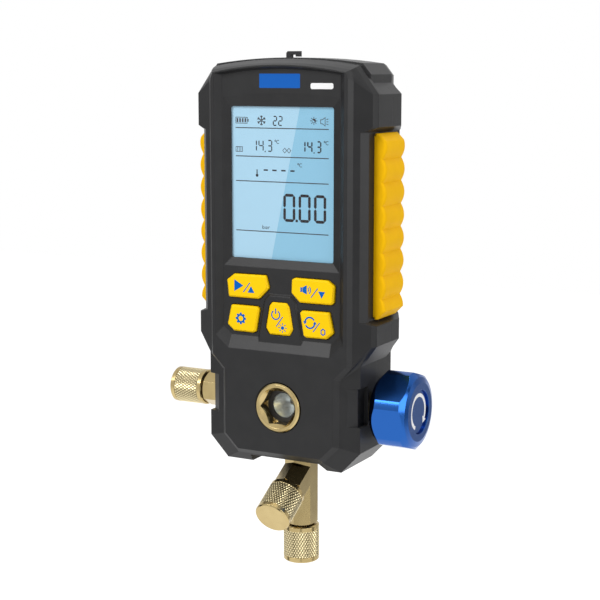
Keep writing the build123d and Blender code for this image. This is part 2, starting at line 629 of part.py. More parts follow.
# Sight glass: collar with a hexagon socket, gasket, glass and reflector
INTO_SIGHT = Plane(origin=(0, FRONT_Y, PORT_Z), x_dir=(0, 1, 0), z_dir=(1, 0, 0))
with BuildPart() as sight_collar:
    peg(COLLAR_FACE, COLLAR_SHOULDER, COLLAR_R, 0, 0)
    chamfer(sight_collar.edges().filter_by(GeomType.CIRCLE), COLLAR_EDGE)
    peg(COLLAR_SHOULDER, COLLAR_END, COLLAR_STUD_R, 0, 0)
    with BuildSketch(face_plane(COLLAR_FACE - 1)) as socket:
        with Locations((0, PORT_Z)):
            RegularPolygon(radius=SOCKET_AF / sqrt(3), side_count=6, rotation=0)
    extrude(socket.sketch, amount=SOCKET_BOTTOM - COLLAR_FACE + 1, dir=TO_BACK, mode=Mode.SUBTRACT)
    # Countersink at 45 degrees, which leaves a scallop over each flat of the hexagon
    sink = COLLAR_MOUTH_R - SOCKET_AF / 2
    lathe(INTO_SIGHT, [(COLLAR_FACE - 1, 0), (COLLAR_FACE - 1, COLLAR_MOUTH_R + 1),
                       (COLLAR_FACE + sink, SOCKET_AF / 2), (COLLAR_FACE + sink, 0)], Mode.SUBTRACT)
    peg(SOCKET_BOTTOM - 1, COLLAR_END + 1, SIGHT_R + 0.05, 0, 0, Mode.SUBTRACT)
write(sight_collar.part, "sight_collar")

with BuildPart() as sight_gasket:
    peg(SOCKET_BOTTOM, SOCKET_BOTTOM + GASKET_THICK, SIGHT_R, 0, 0)
    peg(SOCKET_BOTTOM - 1, SOCKET_BOTTOM + GASKET_THICK + 1, SIGHT_VIEW_R, 0, 0, Mode.SUBTRACT)
write(sight_gasket.part, "sight_gasket")

GLASS_FRONT = SOCKET_BOTTOM + GASKET_THICK + 0.02
with BuildPart() as sight_glass:
    peg(GLASS_FRONT, GLASS_FRONT + GLASS_THICK, SIGHT_R, 0, 0)
write(sight_glass.part, "sight_glass")

REFLECTOR_FRONT = GLASS_FRONT + GLASS_THICK + 0.02
with BuildPart() as sight_reflector:
    peg(REFLECTOR_FRONT, COLLAR_END - 0.1, SIGHT_R, 0, 0)
    with BuildSketch(face_plane(REFLECTOR_FRONT)) as mouth:
        with Locations((0, PORT_Z)):
            Circle(SIGHT_R - 0.8)
    with BuildSketch(face_plane(COLLAR_END - 1.3)) as throat:
        with Locations((0, PORT_Z)):
            Circle(1.6)
    loft([mouth.sketch, throat.sketch], mode=Mode.SUBTRACT)
    peg(REFLECTOR_FRONT, COLLAR_END + 1, 1.5, 0, 0, Mode.SUBTRACT)
write(sight_reflector.part, "sight_reflector")


def hex_end(across_flats, end, back):
    """Turned profile that trims a hexagonal bar's end to a chamfer: (along, radius) points."""
    corner = across_flats / sqrt(3) + 0.6
    flat = across_flats / 2 - 0.15
    return [(back, 0), (back, corner), (end - (corner - flat) * 0.58, corner), (end, flat), (end, 0)]


def port_profile(start):
    """Turned profile of a flare port from the end of its bar."""
    thread_start = start + RELIEF_LEN
    thread_end = thread_start + THREAD_LEN
    return [(start - 1, 0), (start - 1, RELIEF_R), (thread_start, RELIEF_R), (thread_start + 0.6, THREAD_R),
            (thread_end - 0.7, THREAD_R), (thread_end, RELIEF_R),
            (thread_end + NOSE_LEN, RELIEF_R - NOSE_LEN), (thread_end + NOSE_LEN, 0)]


PORT_LEN = RELIEF_LEN + THREAD_LEN + NOSE_LEN


def hex_bar(plane, across_flats, start, end, turn):
    """Hexagonal bar along a plane's x with a chamfered outer end."""
    cross = Plane(origin=plane.origin + plane.x_dir * start, x_dir=plane.y_dir, z_dir=plane.x_dir)
    with BuildPart() as bar:
        with BuildSketch(cross) as section:
            RegularPolygon(radius=across_flats / sqrt(3), side_count=6, rotation=turn)
        extrude(section.sketch, amount=end - start)
        lathe(plane, hex_end(across_flats, end, start), Mode.INTERSECT)
    add(bar.part)


# Planes along the three ports: x runs outward on the port's axis
LEFT = Plane(origin=(0, AXIS_Y, PORT_Z), x_dir=(-1, 0, 0), z_dir=(0, 1, 0))
DOWNWARD = Plane(origin=(0, AXIS_Y, height(JUNCTION)), x_dir=(0, 0, -1), z_dir=(1, 0, 0))
SLANTED = Plane(origin=(0, AXIS_Y, height(JUNCTION)),
                x_dir=(0, -sin(radians(BRANCH_ANGLE)), -cos(radians(BRANCH_ANGLE))), z_dir=(1, 0, 0))
BLOCK_FOOT = -BLOCK_HIGH - SEAT_GAP - JUNCTION

with BuildPart() as left_port:
    hex_bar(LEFT, SIDE_AF, BLOCK_X + SEAT_GAP, SIDE_HEX_END, 0)
    bar_x(-BLOCK_X + STUD_LEN, -BLOCK_X - SEAT_GAP - 1, STUD_R)
    lathe(LEFT, port_profile(SIDE_HEX_END))
    bar_x(-SIDE_HEX_END - PORT_LEN - 1, 0, PORT_BORE_R, Mode.SUBTRACT)
write(left_port.part, "left_port")

with BuildPart() as y_fitting:
    hex_bar(DOWNWARD, HEX_AF, -BLOCK_FOOT, DOWN_HEX, 0)
    hex_bar(SLANTED, HEX_AF, 0, SLANT_HEX, 0)
    bar_z(-BLOCK_HIGH - SEAT_GAP - 1, -BLOCK_HIGH + STUD_LEN - 0.3, STUD_R)
    lathe(DOWNWARD, port_profile(DOWN_HEX))
    lathe(SLANTED, port_profile(SLANT_HEX))
    bar_z(JUNCTION - DOWN_HEX - PORT_LEN - 1, 0, PORT_BORE_R, Mode.SUBTRACT)
    lathe(SLANTED, [(0, 0), (0, BRANCH_BORE_R), (SLANT_HEX + PORT_LEN + 1, BRANCH_BORE_R),
                    (SLANT_HEX + PORT_LEN + 1, 0)], Mode.SUBTRACT)
write(y_fitting.part, "y_fitting")

# Caps with their seals
for name, plane, hex_length in (("left", LEFT, SIDE_HEX_END), ("down", DOWNWARD, DOWN_HEX),
                                ("front", SLANTED, SLANT_HEX)):
    mouth = hex_length + CAP_GAP
    end = mouth + CAP_LEN
    seal_start = hex_length + PORT_LEN + 0.05
    seal_end = seal_start + SEAL_THICK
    bore_end = seal_end + 0.05
    with BuildPart() as cap:
        lathe(plane, [(mouth, CAP_BORE_R + 0.9), (mouth, CAP_R - CAP_EDGE), (mouth + CAP_EDGE, CAP_R),
                      (mouth + CAP_BAND, CAP_R), (mouth + CAP_BAND, KNURL_R), (end - CAP_BAND, KNURL_R),
                      (end - CAP_BAND, CAP_R), (end - CAP_EDGE, CAP_R), (end, CAP_R - CAP_EDGE), (end, 0),
                      (bore_end, 0), (bore_end, CAP_BORE_R), (mouth + 0.9, CAP_BORE_R)])
    write(cap.part, "cap_" + name)
    with BuildPart() as seal:
        lathe(plane, [(seal_start, 0), (seal_start, SEAL_R), (seal_end, SEAL_R), (seal_end, 0)])
    write(seal.part, "seal_" + name)

# Valve: bonnet, packing, plunger, stem and knob
RIGHT = Plane(origin=(0, AXIS_Y, PORT_Z), x_dir=(1, 0, 0), z_dir=(0, 1, 0))
with BuildPart() as valve_bonnet:
    hex_bar(RIGHT, SIDE_AF, BLOCK_X + SEAT_GAP, BONNET_HEX_END, 0)
    bar_x(BONNET_HEX_END - 1, BONNET_END, BONNET_R)
    bar_x(BLOCK_X - STUD_LEN + 0.3, BLOCK_X + SEAT_GAP + 1, STUD_R)
    bar_x(0, BONNET_END + 1, STEM_R + STEM_CLEAR, Mode.SUBTRACT)
    bar_x(PACKING_START, PACKING_START + PACKING_LEN, PACKING_R + 0.05, Mode.SUBTRACT)
write(valve_bonnet.part, "valve_bonnet")

with BuildPart() as stem_packing:
    bar_x(PACKING_START + 0.05, PACKING_START + PACKING_LEN - 0.05, PACKING_R)
    bar_x(PACKING_START - 1, PACKING_START + PACKING_LEN + 1, STEM_R + STEM_CLEAR, Mode.SUBTRACT)
write(stem_packing.part, "stem_packing")

with BuildPart() as valve_plunger:
    cone_end = NEEDLE_TIP + NEEDLE_CONE
    lathe(RIGHT, [(NEEDLE_TIP, 0), (NEEDLE_TIP, NEEDLE_TIP_R), (cone_end, NEEDLE_CONE_R),
                  (cone_end + 0.5, NEEDLE_CONE_R), (cone_end + 1, NEEDLE_ROD_R),
                  (PISTON_START, NEEDLE_ROD_R), (PISTON_START + 0.5, PISTON_R), (PISTON_END, PISTON_R),
                  (PISTON_END, 0)])
write(valve_plunger.part, "valve_plunger")


def square_x(start, end, width, mode=Mode.ADD):
    with BuildSketch(side_plane(start)) as section:
        with Locations(SIDE_AXIS):
            Rectangle(width, width)
    extrude(section.sketch, amount=end - start, mode=mode)


with BuildPart() as valve_stem:
    bar_x(STEM_START, SQUARE_START, STEM_R)
    square_x(SQUARE_START, SQUARE_END, SQUARE)
    bar_x(SQUARE_END - 6, SQUARE_END + 1, KNOB_SCREW_R + 0.05, Mode.SUBTRACT)
write(valve_stem.part, "valve_stem")

SCREW_SEAT = KNOB_END - DISC_SINK - DISC_THICK - KNOB_SCREW_HEAD - 0.2
with BuildPart() as valve_knob:
    with BuildSketch(side_plane(KNOB_BASE)) as section:
        with Locations(SIDE_AXIS):
            RegularPolygon(radius=KNOB_APEX_R, side_count=6, rotation=180 - KNOB_TURN)
    extrude(section.sketch, amount=KNOB_END - KNOB_BASE)
    lathe(RIGHT, [(KNOB_BASE, 0), (KNOB_BASE, KNOB_FOOT_R), (KNOB_BASE + KNOB_FOOT_TAPER, KNOB_CORNER_R),
                  (KNOB_END - KNOB_TAPER, KNOB_CORNER_R), (KNOB_END - KNOB_SHOULDER, KNOB_SHOULDER_R),
                  (KNOB_END, KNOB_FACE_R), (KNOB_END, 0)], Mode.INTERSECT)
    bar_x(KNOB_END - DISC_SINK - DISC_THICK, KNOB_END + 1, DISC_R + FIT, Mode.SUBTRACT)
    bar_x(SCREW_SEAT, KNOB_END, KNOB_SCREW_HEAD_R + 0.2, Mode.SUBTRACT)
    bar_x(KNOB_BASE - 1, SQUARE_START + 0.05, STEM_R + 0.05, Mode.SUBTRACT)
    square_x(SQUARE_START - 1, SCREW_SEAT + 1, SQUARE + 0.1, Mode.SUBTRACT)
write(valve_knob.part, "valve_knob")

with BuildPart() as knob_screw:
    bar_x(SCREW_SEAT + 0.02, SCREW_SEAT + KNOB_SCREW_HEAD, KNOB_SCREW_HEAD_R)
    bar_x(SQUARE_END - 5.5, SCREW_SEAT + 0.1, KNOB_SCREW_R)
write(knob_screw.part, "knob_screw")

with BuildPart() as knob_disc:
    bar_x(KNOB_END - DISC_SINK - DISC_THICK, KNOB_END - DISC_SINK, DISC_R)
write(knob_disc.part, "knob_disc")

# Pressure sensor on top of the block
with BuildPart() as pressure_sensor:
    bar_z(BLOCK_HIGH + SEAT_GAP, BLOCK_HIGH + SEAT_GAP + SENSOR_BODY, SENSOR_R)
    bar_z(BLOCK_HIGH + SEAT_GAP + SENSOR_BODY, BLOCK_HIGH + SEAT_GAP + SENSOR_LEN, SENSOR_NECK_R)
    bar_z(BLOCK_HIGH - STUD_LEN + 0.3, BLOCK_HIGH + SEAT_GAP + 1, STUD_R)
    bar_z(0, BLOCK_HIGH + 2, PASSAGE_R, Mode.SUBTRACT)
write(pressure_sensor.part, "pressure_sensor")

# Hanging hook and the guide it slides in. Heights here count from the arch's centre
ARCH = -PORT_Z
with BuildPart() as hanging_hook:
    box_slab(HOOK_NEAR, HOOK_FAR, HOOK_R, ARCH + HOOK_STEM_LOW, ARCH)
    peg(HOOK_NEAR, HOOK_FAR, HOOK_R, 0, ARCH)
    box_slab(HOOK_NEAR, HOOK_FAR, HOOK_FOOT_X, ARCH + HOOK_STEM_LOW, ARCH + HOOK_STEM_LOW + HOOK_FOOT_H)
    top = ARCH + TAB_HIGH
    lip_x = TAB_RIGHT - TAB_STEM + 0.5
    slab(HOOK_NEAR, HOOK_FAR, [(TAB_LEFT, ARCH + HOOK_MOUTH_R), (TAB_LEFT, top - 0.7),
                               (TAB_LEFT + 0.7, top), (TAB_RIGHT, top), (TAB_RIGHT, top - TAB_LIP),
                               (lip_x, top - TAB_LIP), (lip_x, top - TAB_BAR),
                               (TAB_LEFT + TAB_STEM, top - TAB_BAR), (TAB_LEFT + TAB_STEM, ARCH + HOOK_MOUTH_R)])
    peg(HOOK_NEAR - 1, HOOK_FAR + 1, HOOK_MOUTH_R, 0, ARCH, Mode.SUBTRACT)
    box_slab(HOOK_NEAR - 1, HOOK_FAR + 1, HOOK_MOUTH_R, ARCH + HOOK_MOUTH_LOW, ARCH, Mode.SUBTRACT)
    slab(HOOK_NEAR - 1, HOOK_FAR + 1, [(0, ARCH + HOOK_TIP_LOW), (HOOK_R + 1, ARCH + HOOK_TIP_LOW),
                                       (HOOK_R + 1, ARCH + HOOK_MOUTH_LOW - 1), (0, ARCH + HOOK_MOUTH_LOW)],
         Mode.SUBTRACT)
write(hanging_hook.part, "hanging_hook")

GUIDE_LOW = HOOK_STEM_LOW + HOOK_FOOT_H + HOOK_RISE + 0.1
with BuildPart() as hook_guide:
    box_slab(HOOK_NEAR - HOOK_CLEAR - GUIDE_WALL, BAY_FRONT - BAY_WALL - 0.05,
             HOOK_R + HOOK_CLEAR + GUIDE_WALL, ARCH + GUIDE_LOW, ARCH + GUIDE_HIGH)
    box_slab(HOOK_NEAR - HOOK_CLEAR, HOOK_FAR + HOOK_CLEAR, HOOK_R + HOOK_CLEAR, ARCH + GUIDE_LOW - 1,
             ARCH + GUIDE_HIGH + 1, Mode.SUBTRACT)
write(hook_guide.part, "hook_guide")

# Battery cells, contacts and door
with BuildPart() as battery_cells:
    for i in range(4):
        x = (i - 1.5) * CELL_PITCH
        low = (BAY_LOW + BAY_HIGH - CELL_LEN) / 2
        bar_z(low, low + CELL_LEN, CELL_R, centre=(x, FRONT_Y + CELL_DEPTH))
        if i % 2 == 0:
            bar_z(low + CELL_LEN - 0.5, low + CELL_LEN + CELL_NUB, CELL_NUB_R,
                  centre=(x, FRONT_Y + CELL_DEPTH))
        else:
            bar_z(low - CELL_NUB, low + 0.5, CELL_NUB_R, centre=(x, FRONT_Y + CELL_DEPTH))
write(battery_cells.part, "battery_cells")

with BuildPart() as battery_contacts:
    for i in range(4):
        x = (i - 1.5) * CELL_PITCH
        cell_low = (BAY_LOW + BAY_HIGH - CELL_LEN) / 2
        cell_high = cell_low + CELL_LEN
        plate_low = BAY_LOW + 0.05
        plate_high = BAY_HIGH - 0.05 - CONTACT_THICK
        for low, spring_start, spring_end, sprung in (
                (plate_low, plate_low + 0.3, cell_low - 0.05, i % 2 == 0),
                (plate_high, cell_high + 0.05, plate_high + 0.1, i % 2 == 1)):
            box_slab(CELL_DEPTH - CONTACT_Y, CELL_DEPTH + CONTACT_Y, CONTACT_X, low, low + CONTACT_THICK, x=x)
            if sprung:
                bar_z(spring_start, spring_end, SPRING_R, centre=(x, FRONT_Y + CELL_DEPTH))
write(battery_contacts.part, "battery_contacts")

with BuildPart() as battery_door:
    low = BAY_LOW - DOOR_LEDGE
    high = BAY_HIGH + DOOR_LEDGE
    box_slab(DOOR_FACE - DOOR_THICK, DOOR_FACE, door_x, low + DOOR_THICK / 2, high)
    bar_x(-door_x, door_x, DOOR_THICK / 2, Mode.ADD, (pivot_y, pivot_z))
    bar_x(-door_x - PIVOT_LEN, door_x + PIVOT_LEN, PIVOT_R, Mode.ADD, (pivot_y, pivot_z))
    # Finger hollow near the top
    slab(DOOR_FACE - 0.9, DOOR_FACE + 1, [(-8, high - 9), (8, high - 9), (6, high - 4), (-6, high - 4)],
         Mode.SUBTRACT)
write(battery_door.part, "battery_door")


def pan_screw(seat, head, length, radius, head_radius, x, h, driver):
    """Screw along Y with its head to the back and a cross recess."""
    peg(seat - length, seat + 0.05, radius, x, h)
    peg(seat, seat + head, head_radius, x, h)
    for width, tall in ((driver, driver / 4), (driver / 4, driver)):
        with BuildSketch(face_plane(seat + head - 0.8)) as slot:
            with Locations((x, height(h))):
                Rectangle(width, tall)
        extrude(slot.sketch, amount=1, dir=TO_BACK, mode=Mode.SUBTRACT)


with BuildPart() as case_screws:
    for x, h in CASE_SCREWS:
        for side in SIDES:
            pan_screw(BACK - SCREW_SINK + 0.02, SCREW_HEAD, SCREW_LEN - 2, SCREW_R, SCREW_HEAD_R,
                      side * x, h, DRIVER)
write(case_screws.part, "case_screws")

with BuildPart() as block_screws:
    for x, h in BLOCK_SCREWS:
        for side in SIDES:
            pan_screw(BACK - SCREW_SINK + 0.02, SCREW_HEAD, BLOCK_SCREW_LEN - 1.5, SCREW_R, SCREW_HEAD_R,
                      side * x, h, DRIVER)
write(block_screws.part, "block_screws")

with BuildPart() as board_screws:
    for x, h in BOARD_SCREWS:
        for side in SIDES:
            pan_screw(BOARD_BACK + 0.02, 1.3, 4.6, BOARD_SCREW_R, 1.9, side * x, h, 2.2)
write(board_screws.part, "board_screws")
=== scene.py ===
# %% [markdown]
# # A digital refrigerant manifold gauge
# The gauge is a dark moulded case with a display and five keys, on a small brass manifold with a
# sight glass, one valve and three capped ports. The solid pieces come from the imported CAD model,
# which stays as it is. This lesson gives them their finishes and adds what is too fine for the
# solids: the swelling of the grips, the knurling of the caps, the threads, the printing and the
# figures on the display.

# %% Load the CAD model
import json
import math

import bpy
import numpy as np
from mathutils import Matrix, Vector


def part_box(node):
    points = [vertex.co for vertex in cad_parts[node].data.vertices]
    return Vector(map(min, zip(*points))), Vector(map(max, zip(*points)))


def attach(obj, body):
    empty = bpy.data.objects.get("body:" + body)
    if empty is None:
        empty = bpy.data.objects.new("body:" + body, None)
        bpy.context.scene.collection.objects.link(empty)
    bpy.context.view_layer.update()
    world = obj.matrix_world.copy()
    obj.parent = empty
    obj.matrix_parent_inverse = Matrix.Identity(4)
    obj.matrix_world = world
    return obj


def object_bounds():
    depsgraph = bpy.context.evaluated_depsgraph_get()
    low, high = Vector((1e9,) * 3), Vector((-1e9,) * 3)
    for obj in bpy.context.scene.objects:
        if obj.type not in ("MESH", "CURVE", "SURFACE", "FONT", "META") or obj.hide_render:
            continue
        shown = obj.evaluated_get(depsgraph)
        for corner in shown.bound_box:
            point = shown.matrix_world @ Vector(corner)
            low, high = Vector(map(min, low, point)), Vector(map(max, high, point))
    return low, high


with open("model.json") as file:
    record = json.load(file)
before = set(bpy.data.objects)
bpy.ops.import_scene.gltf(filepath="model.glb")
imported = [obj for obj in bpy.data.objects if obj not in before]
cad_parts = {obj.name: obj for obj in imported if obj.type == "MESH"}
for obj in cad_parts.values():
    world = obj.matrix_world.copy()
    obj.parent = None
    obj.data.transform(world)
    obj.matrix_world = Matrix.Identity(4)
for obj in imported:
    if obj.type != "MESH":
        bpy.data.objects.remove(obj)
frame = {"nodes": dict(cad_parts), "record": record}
nodes = frame["nodes"]
cad_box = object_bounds()

# %% [markdown]
# Blender works in metres, and a maker thinks of a gauge in millimetres. Two datums make the places
# easy to say: depths count back from the front plane of the case, and heights count up from the
# axis that the valve and the left port share. Both are read from the CAD nodes.

# %% Datums
MM = 0.001
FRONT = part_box("front_case")[0].y
left_low, left_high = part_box("cap_left")
PORT_AXIS = Vector((0, (left_low.y + left_high.y) / 2, (left_low.z + left_high.z) / 2))


def place(x, depth, height):
    """A point in metres from millimetres across, behind the front plane and above the port axis."""
    return Vector((x * MM, FRONT + depth * MM, PORT_AXIS.z + height * MM))


print("port axis at", [round(c / MM, 2) for c in PORT_AXIS])

# %% [markdown]
# Colours are written as the hex values that a paint chart or a picture gives. Those are sRGB, so
# one function turns them to the linear values that Cycles mixes light with.

# %% Colour and node helpers


def linear(hex_colour):
    """Linear RGBA from an sRGB hex value."""
    rgb = np.array([int(hex_colour[i:i + 2], 16) for i in (1, 3, 5)]) / 255
    rgb = np.where(rgb <= 0.04045, rgb / 12.92, ((rgb + 0.055) / 1.055) ** 2.4)
    return (*rgb.tolist(), 1.0)


def add_node(tree, kind, links=None, **settings):
    """Add a shader node, set its inputs or properties by name, and link its inputs."""
    node = tree.nodes.new(kind)
    for name, value in settings.items():
        if hasattr(node, name):
            setattr(node, name, value)
        else:
            node.inputs[name.replace("_", " ")].default_value = value
    for name, source in (links or {}).items():
        tree.links.new(source, node.inputs[name])
    return node


def new_finish(name):
    """An empty material with its output node."""
    finish = bpy.data.materials.new(name)
    finish.use_nodes = True
    finish.node_tree.nodes.clear()
    output = finish.node_tree.nodes.new("ShaderNodeOutputMaterial")
    return finish, finish.node_tree, output


# %% [markdown]
# Most finishes here are one colour with something fine on it: the grain that a spark-eroded mould
# leaves, a drift of tone where metal has been handled, and edges a few tenths of a millimetre
# round. The Bevel node turns the light at an edge without adding a face, and noise on Object
# coordinates keeps its scale in millimetres on every piece. On knurling the second tone follows
# the height of the diamonds, which the mesh carries as an attribute: there it is painted shade in
# the grooves and a painted highlight on the crests.

# %% The one recipe for solid finishes
BEVEL_SAMPLES = 6
BUMP_STRENGTH = 0.5
DRIFT_RAMP = (0.35, 0.7)
CREST_SHADE_RAMP = (0.1, 0.75)


def solid_finish(name, colour, roughness, metallic=0.0, specular=0.5, edge=0.0, grain=0.0,
                 depth=0.0, tone=None, patch=8.0, crest=False, glow=0.0):
    """A finish with one colour: edge rounds the corners, grain is the size of its texture in mm.

    tone is a second colour that drifts in by patches of that size in mm, or, with crest, a
    painted highlight on the crests of the knurling over painted shade in its grooves, and glow is
    its own light.
    """
    finish, tree, output = new_finish(name)
    shader = add_node(tree, "ShaderNodeBsdfPrincipled", Base_Color=linear(colour),
                      Roughness=roughness, Metallic=metallic, Specular_IOR_Level=specular)
    spot = add_node(tree, "ShaderNodeTexCoord").outputs["Object"]
    if glow:
        shader.inputs["Emission Color"].default_value = linear(colour)
        shader.inputs["Emission Strength"].default_value = glow
    if tone:
        if crest:
            tone_mask = add_node(tree, "ShaderNodeAttribute", attribute_name="crest")
        else:
            tone_mask = add_node(tree, "ShaderNodeTexNoise", {"Vector": spot}, Scale=1 / (patch * MM),
                             Detail=5.0)
        tones = add_node(tree, "ShaderNodeValToRGB", {"Fac": tone_mask.outputs["Fac"]})
        stops = tones.color_ramp.elements
        stops[0].position, stops[1].position = CREST_SHADE_RAMP if crest else DRIFT_RAMP
        stops[0].color, stops[1].color = linear(colour), linear(tone)
        tree.links.new(tones.outputs["Color"], shader.inputs["Base Color"])
    normal = None
    if edge:
        bevel = add_node(tree, "ShaderNodeBevel", samples=BEVEL_SAMPLES, Radius=edge * MM)
        normal = bevel.outputs["Normal"]
    if grain:
        noise = add_node(tree, "ShaderNodeTexNoise", {"Vector": spot}, Scale=1 / (grain * MM),
                         Detail=2.0)
        bump = add_node(tree, "ShaderNodeBump", {"Height": noise.outputs["Fac"]},
                        Strength=BUMP_STRENGTH, Distance=depth * MM)
        if normal:
            tree.links.new(normal, bump.inputs["Normal"])
        normal = bump.outputs["Normal"]
    if normal:
        tree.links.new(normal, shader.inputs["Normal"])
    tree.links.new(shader.outputs["BSDF"], output.inputs["Surface"])
    return finish


# %% [markdown]
# ## Finishes
# The shells are moulded in ABS from a spark-eroded tool, which leaves a fine dull grain and edges
# about half a millimetre round. The grips are a softer yellow rubber, and the keys are silicone
# of a stronger yellow. A textured face scatters much of its gloss, so the plastics mirror less
# than a polished sheet would.

# %% Plastic and rubber finishes
abs_shell = solid_finish("moulded_abs", "#1D1D1E", 0.42, specular=0.28, edge=0.45, grain=0.35,
                         depth=0.012, tone="#222223")
hook_nylon = solid_finish("nylon_hook", "#1E1E20", 0.38, specular=0.35, edge=0.3)
grip_rubber = solid_finish("tpe_grip", "#F5BC00", 0.55, specular=0.1, edge=0.5, grain=0.3,
                           depth=0.01, tone="#F0B600")
key_silicone = solid_finish("silicone_key", "#FFD000", 0.42, specular=0.15, edge=0.35, grain=0.3,
                            depth=0.006, tone="#FCCB00")
mat_silicone = solid_finish("silicone_mat", "#8A8A8A", 0.6, grain=0.3, depth=0.006)
nitrile = solid_finish("nitrile_seal", "#141414", 0.5, edge=0.2)
epoxy_chip = solid_finish("moulded_epoxy", "#1A1A1A", 0.5, edge=0.2, grain=0.2, depth=0.01)
solder_mask = solid_finish("solder_mask", "#1F5A34", 0.3, tone="#1B5230")
print("plastic finishes made")

# %% [markdown]
# The manifold is free-cutting brass, turned and left bright. A metal takes its colour from its
# reflection, so its base colour is what white light looks like in it. Handling dulls it in
# patches. The knurling carries painted shade, dark brass at the bottom of its grooves, and a
# painted highlight of pale brass on the crests of its diamonds. The knob is aluminium, blasted a
# little and anodised blue. The screws are zinc plated, and a dish of polished steel lies behind
# the sight glass.

# %% Metal finishes
turned_brass = solid_finish("turned_brass", "#B5A273", 0.2, metallic=1.0, edge=0.2, tone="#AA9668")
# Painted shade in the knurl grooves (#4E4020) and a painted highlight on the crests (#EADBAE).
knurled_brass_painted_shade = solid_finish("knurled_brass_painted_shade", "#4E4020", 0.2, metallic=1.0, tone="#EADBAE",
                             crest=True)
blue_anodised = solid_finish("anodised_aluminium_blue", "#26559C", 0.18, metallic=1.0, edge=0.25,
                             grain=0.15, depth=0.002)
zinc_steel = solid_finish("zinc_plated_steel", "#B9BABC", 0.3, metallic=1.0, edge=0.1,
                          tone="#ABADB1", patch=3.0)
polished_steel = solid_finish("polished_steel_reflector", "#FFFFFF", 0.25, metallic=0.85)
cell_sleeve = solid_finish("printed_cell_sleeve", "#2E2E33", 0.35, metallic=0.3, edge=0.3)
print("metal finishes made")


# %% [markdown]
# ## Clear pieces
# The display window is acrylic and the sight glass is toughened glass. A full glass shader would
# keep the lamps out of what lies behind, so a thin clear sheet is a mix: it lets light straight
# through, and mirrors a little more as it is seen from the side. Only the face that light enters
# by mirrors: behind it the light goes on unbent, and would seem trapped at the second face.

# %% Clear finishes
CLEAR_IOR = 1.45


def clear_finish(name, tint, roughness):
    """Clear sheet: transparent, with a Fresnel share of mirror."""
    finish, tree, output = new_finish(name)
    through = add_node(tree, "ShaderNodeBsdfTransparent", Color=linear(tint))
    mirror = add_node(tree, "ShaderNodeBsdfGlossy", Roughness=roughness)
    fresnel = add_node(tree, "ShaderNodeFresnel", IOR=CLEAR_IOR)
    geometry = add_node(tree, "ShaderNodeNewGeometry")
    facing = add_node(tree, "ShaderNodeMath", {1: geometry.outputs["Backfacing"]},
                      operation="SUBTRACT")
    facing.inputs[0].default_value = 1.0
    share = add_node(tree, "ShaderNodeMath", {0: fresnel.outputs["Fac"], 1: facing.outputs[0]},
                     operation="MULTIPLY")
    mix = add_node(tree, "ShaderNodeMixShader", {0: share.outputs[0], 1: through.outputs["BSDF"],
                                                 2: mirror.outputs["BSDF"]})
    tree.links.new(mix.outputs["Shader"], output.inputs["Surface"])
    return finish


clear_acrylic = clear_finish("acrylic_window", "#FAFDFF", 0.05)
clear_glass = clear_finish("toughened_glass", "#F9FCFB", 0.03)

# %% [markdown]
# The display is a liquid crystal panel lit pale blue from behind, so part of its colour is light of
# its own. A paler band on its left, with a slanting edge, is a painted reflection of a lamp in the
# window, and it glows as the panel does. The dark segments hold the light back.

# %% Display and ink finishes
lcd_blue = solid_finish("lit_display", "#92BFD3", 0.6, specular=0.0, glow=0.14)
# Painted reflection: a paler, glowing blue for the band where a lamp is mirrored in the window.
lcd_painted_reflection = solid_finish("display_painted_reflection", "#B0CFDE", 0.6, specular=0.0, glow=0.14)
lcd_ink = solid_finish("display_segment", "#2E2629", 0.6, specular=0.0)
lcd_thin_ink = solid_finish("display_hairline", "#4A474C", 0.6, specular=0.0)
key_ink = solid_finish("printed_blue_ink", "#0060BC", 0.5, specular=0.1)
plate_ink = solid_finish("printed_blue_plate", "#0F5CB4", 0.4, specular=0.15)
white_ink = solid_finish("printed_white_ink", "#F2F2F2", 0.5, specular=0.2)

# %% [markdown]
# Every CAD node gets the finish of its material slot, so the record's slots and the scene agree.

# %% Dress the CAD nodes
FINISHES = {
    "case": abs_shell, "hook": hook_nylon, "window": clear_acrylic, "display": lcd_blue,
    "board": solder_mask, "chip": epoxy_chip, "mat": mat_silicone, "key": key_silicone,
    "grip": grip_rubber, "brass": turned_brass, "gasket": nitrile, "clear_glass": clear_glass,
    "reflector": polished_steel, "knob": blue_anodised, "steel": zinc_steel, "cell": cell_sleeve,
}
for subpart in frame["record"]["subparts"]:
    mesh = nodes[subpart["node"]].data
    mesh.materials.clear()
    mesh.materials.append(FINISHES[subpart["material_slot"]])
print("finishes on", len(nodes), "nodes")


# %% [markdown]
# ## Making a mesh from a grid
# A turned or patterned surface is a function of two parameters. The grid of points is worked out
# as one array, and one helper joins it with quads. Where a direction closes on itself, the last
# row joins the first.

# %% Grid surfaces


def new_piece(name, points, faces, finish, body):
    """A mesh object from points in metres and faces, riding on a CAD body."""
    mesh = bpy.data.meshes.new(name)
    mesh.from_pydata(points, [], faces)
    mesh.update()
    mesh.materials.append(finish)
    piece = bpy.data.objects.new(name, mesh)
    bpy.context.scene.collection.objects.link(piece)
    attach(piece, body)
    return piece


def grid_faces(rows, columns, wrap_columns=True):
    """Quads over a rows by columns grid of points, closed round the columns."""
    last = columns if wrap_columns else columns - 1
    r, c = np.meshgrid(np.arange(rows - 1), np.arange(last), indexing="ij")
    right = (c + 1) % columns
    quads = [r * columns + c, r * columns + right, (r + 1) * columns + right, (r + 1) * columns + c]
    return np.stack(quads, -1).reshape(-1, 4).tolist()


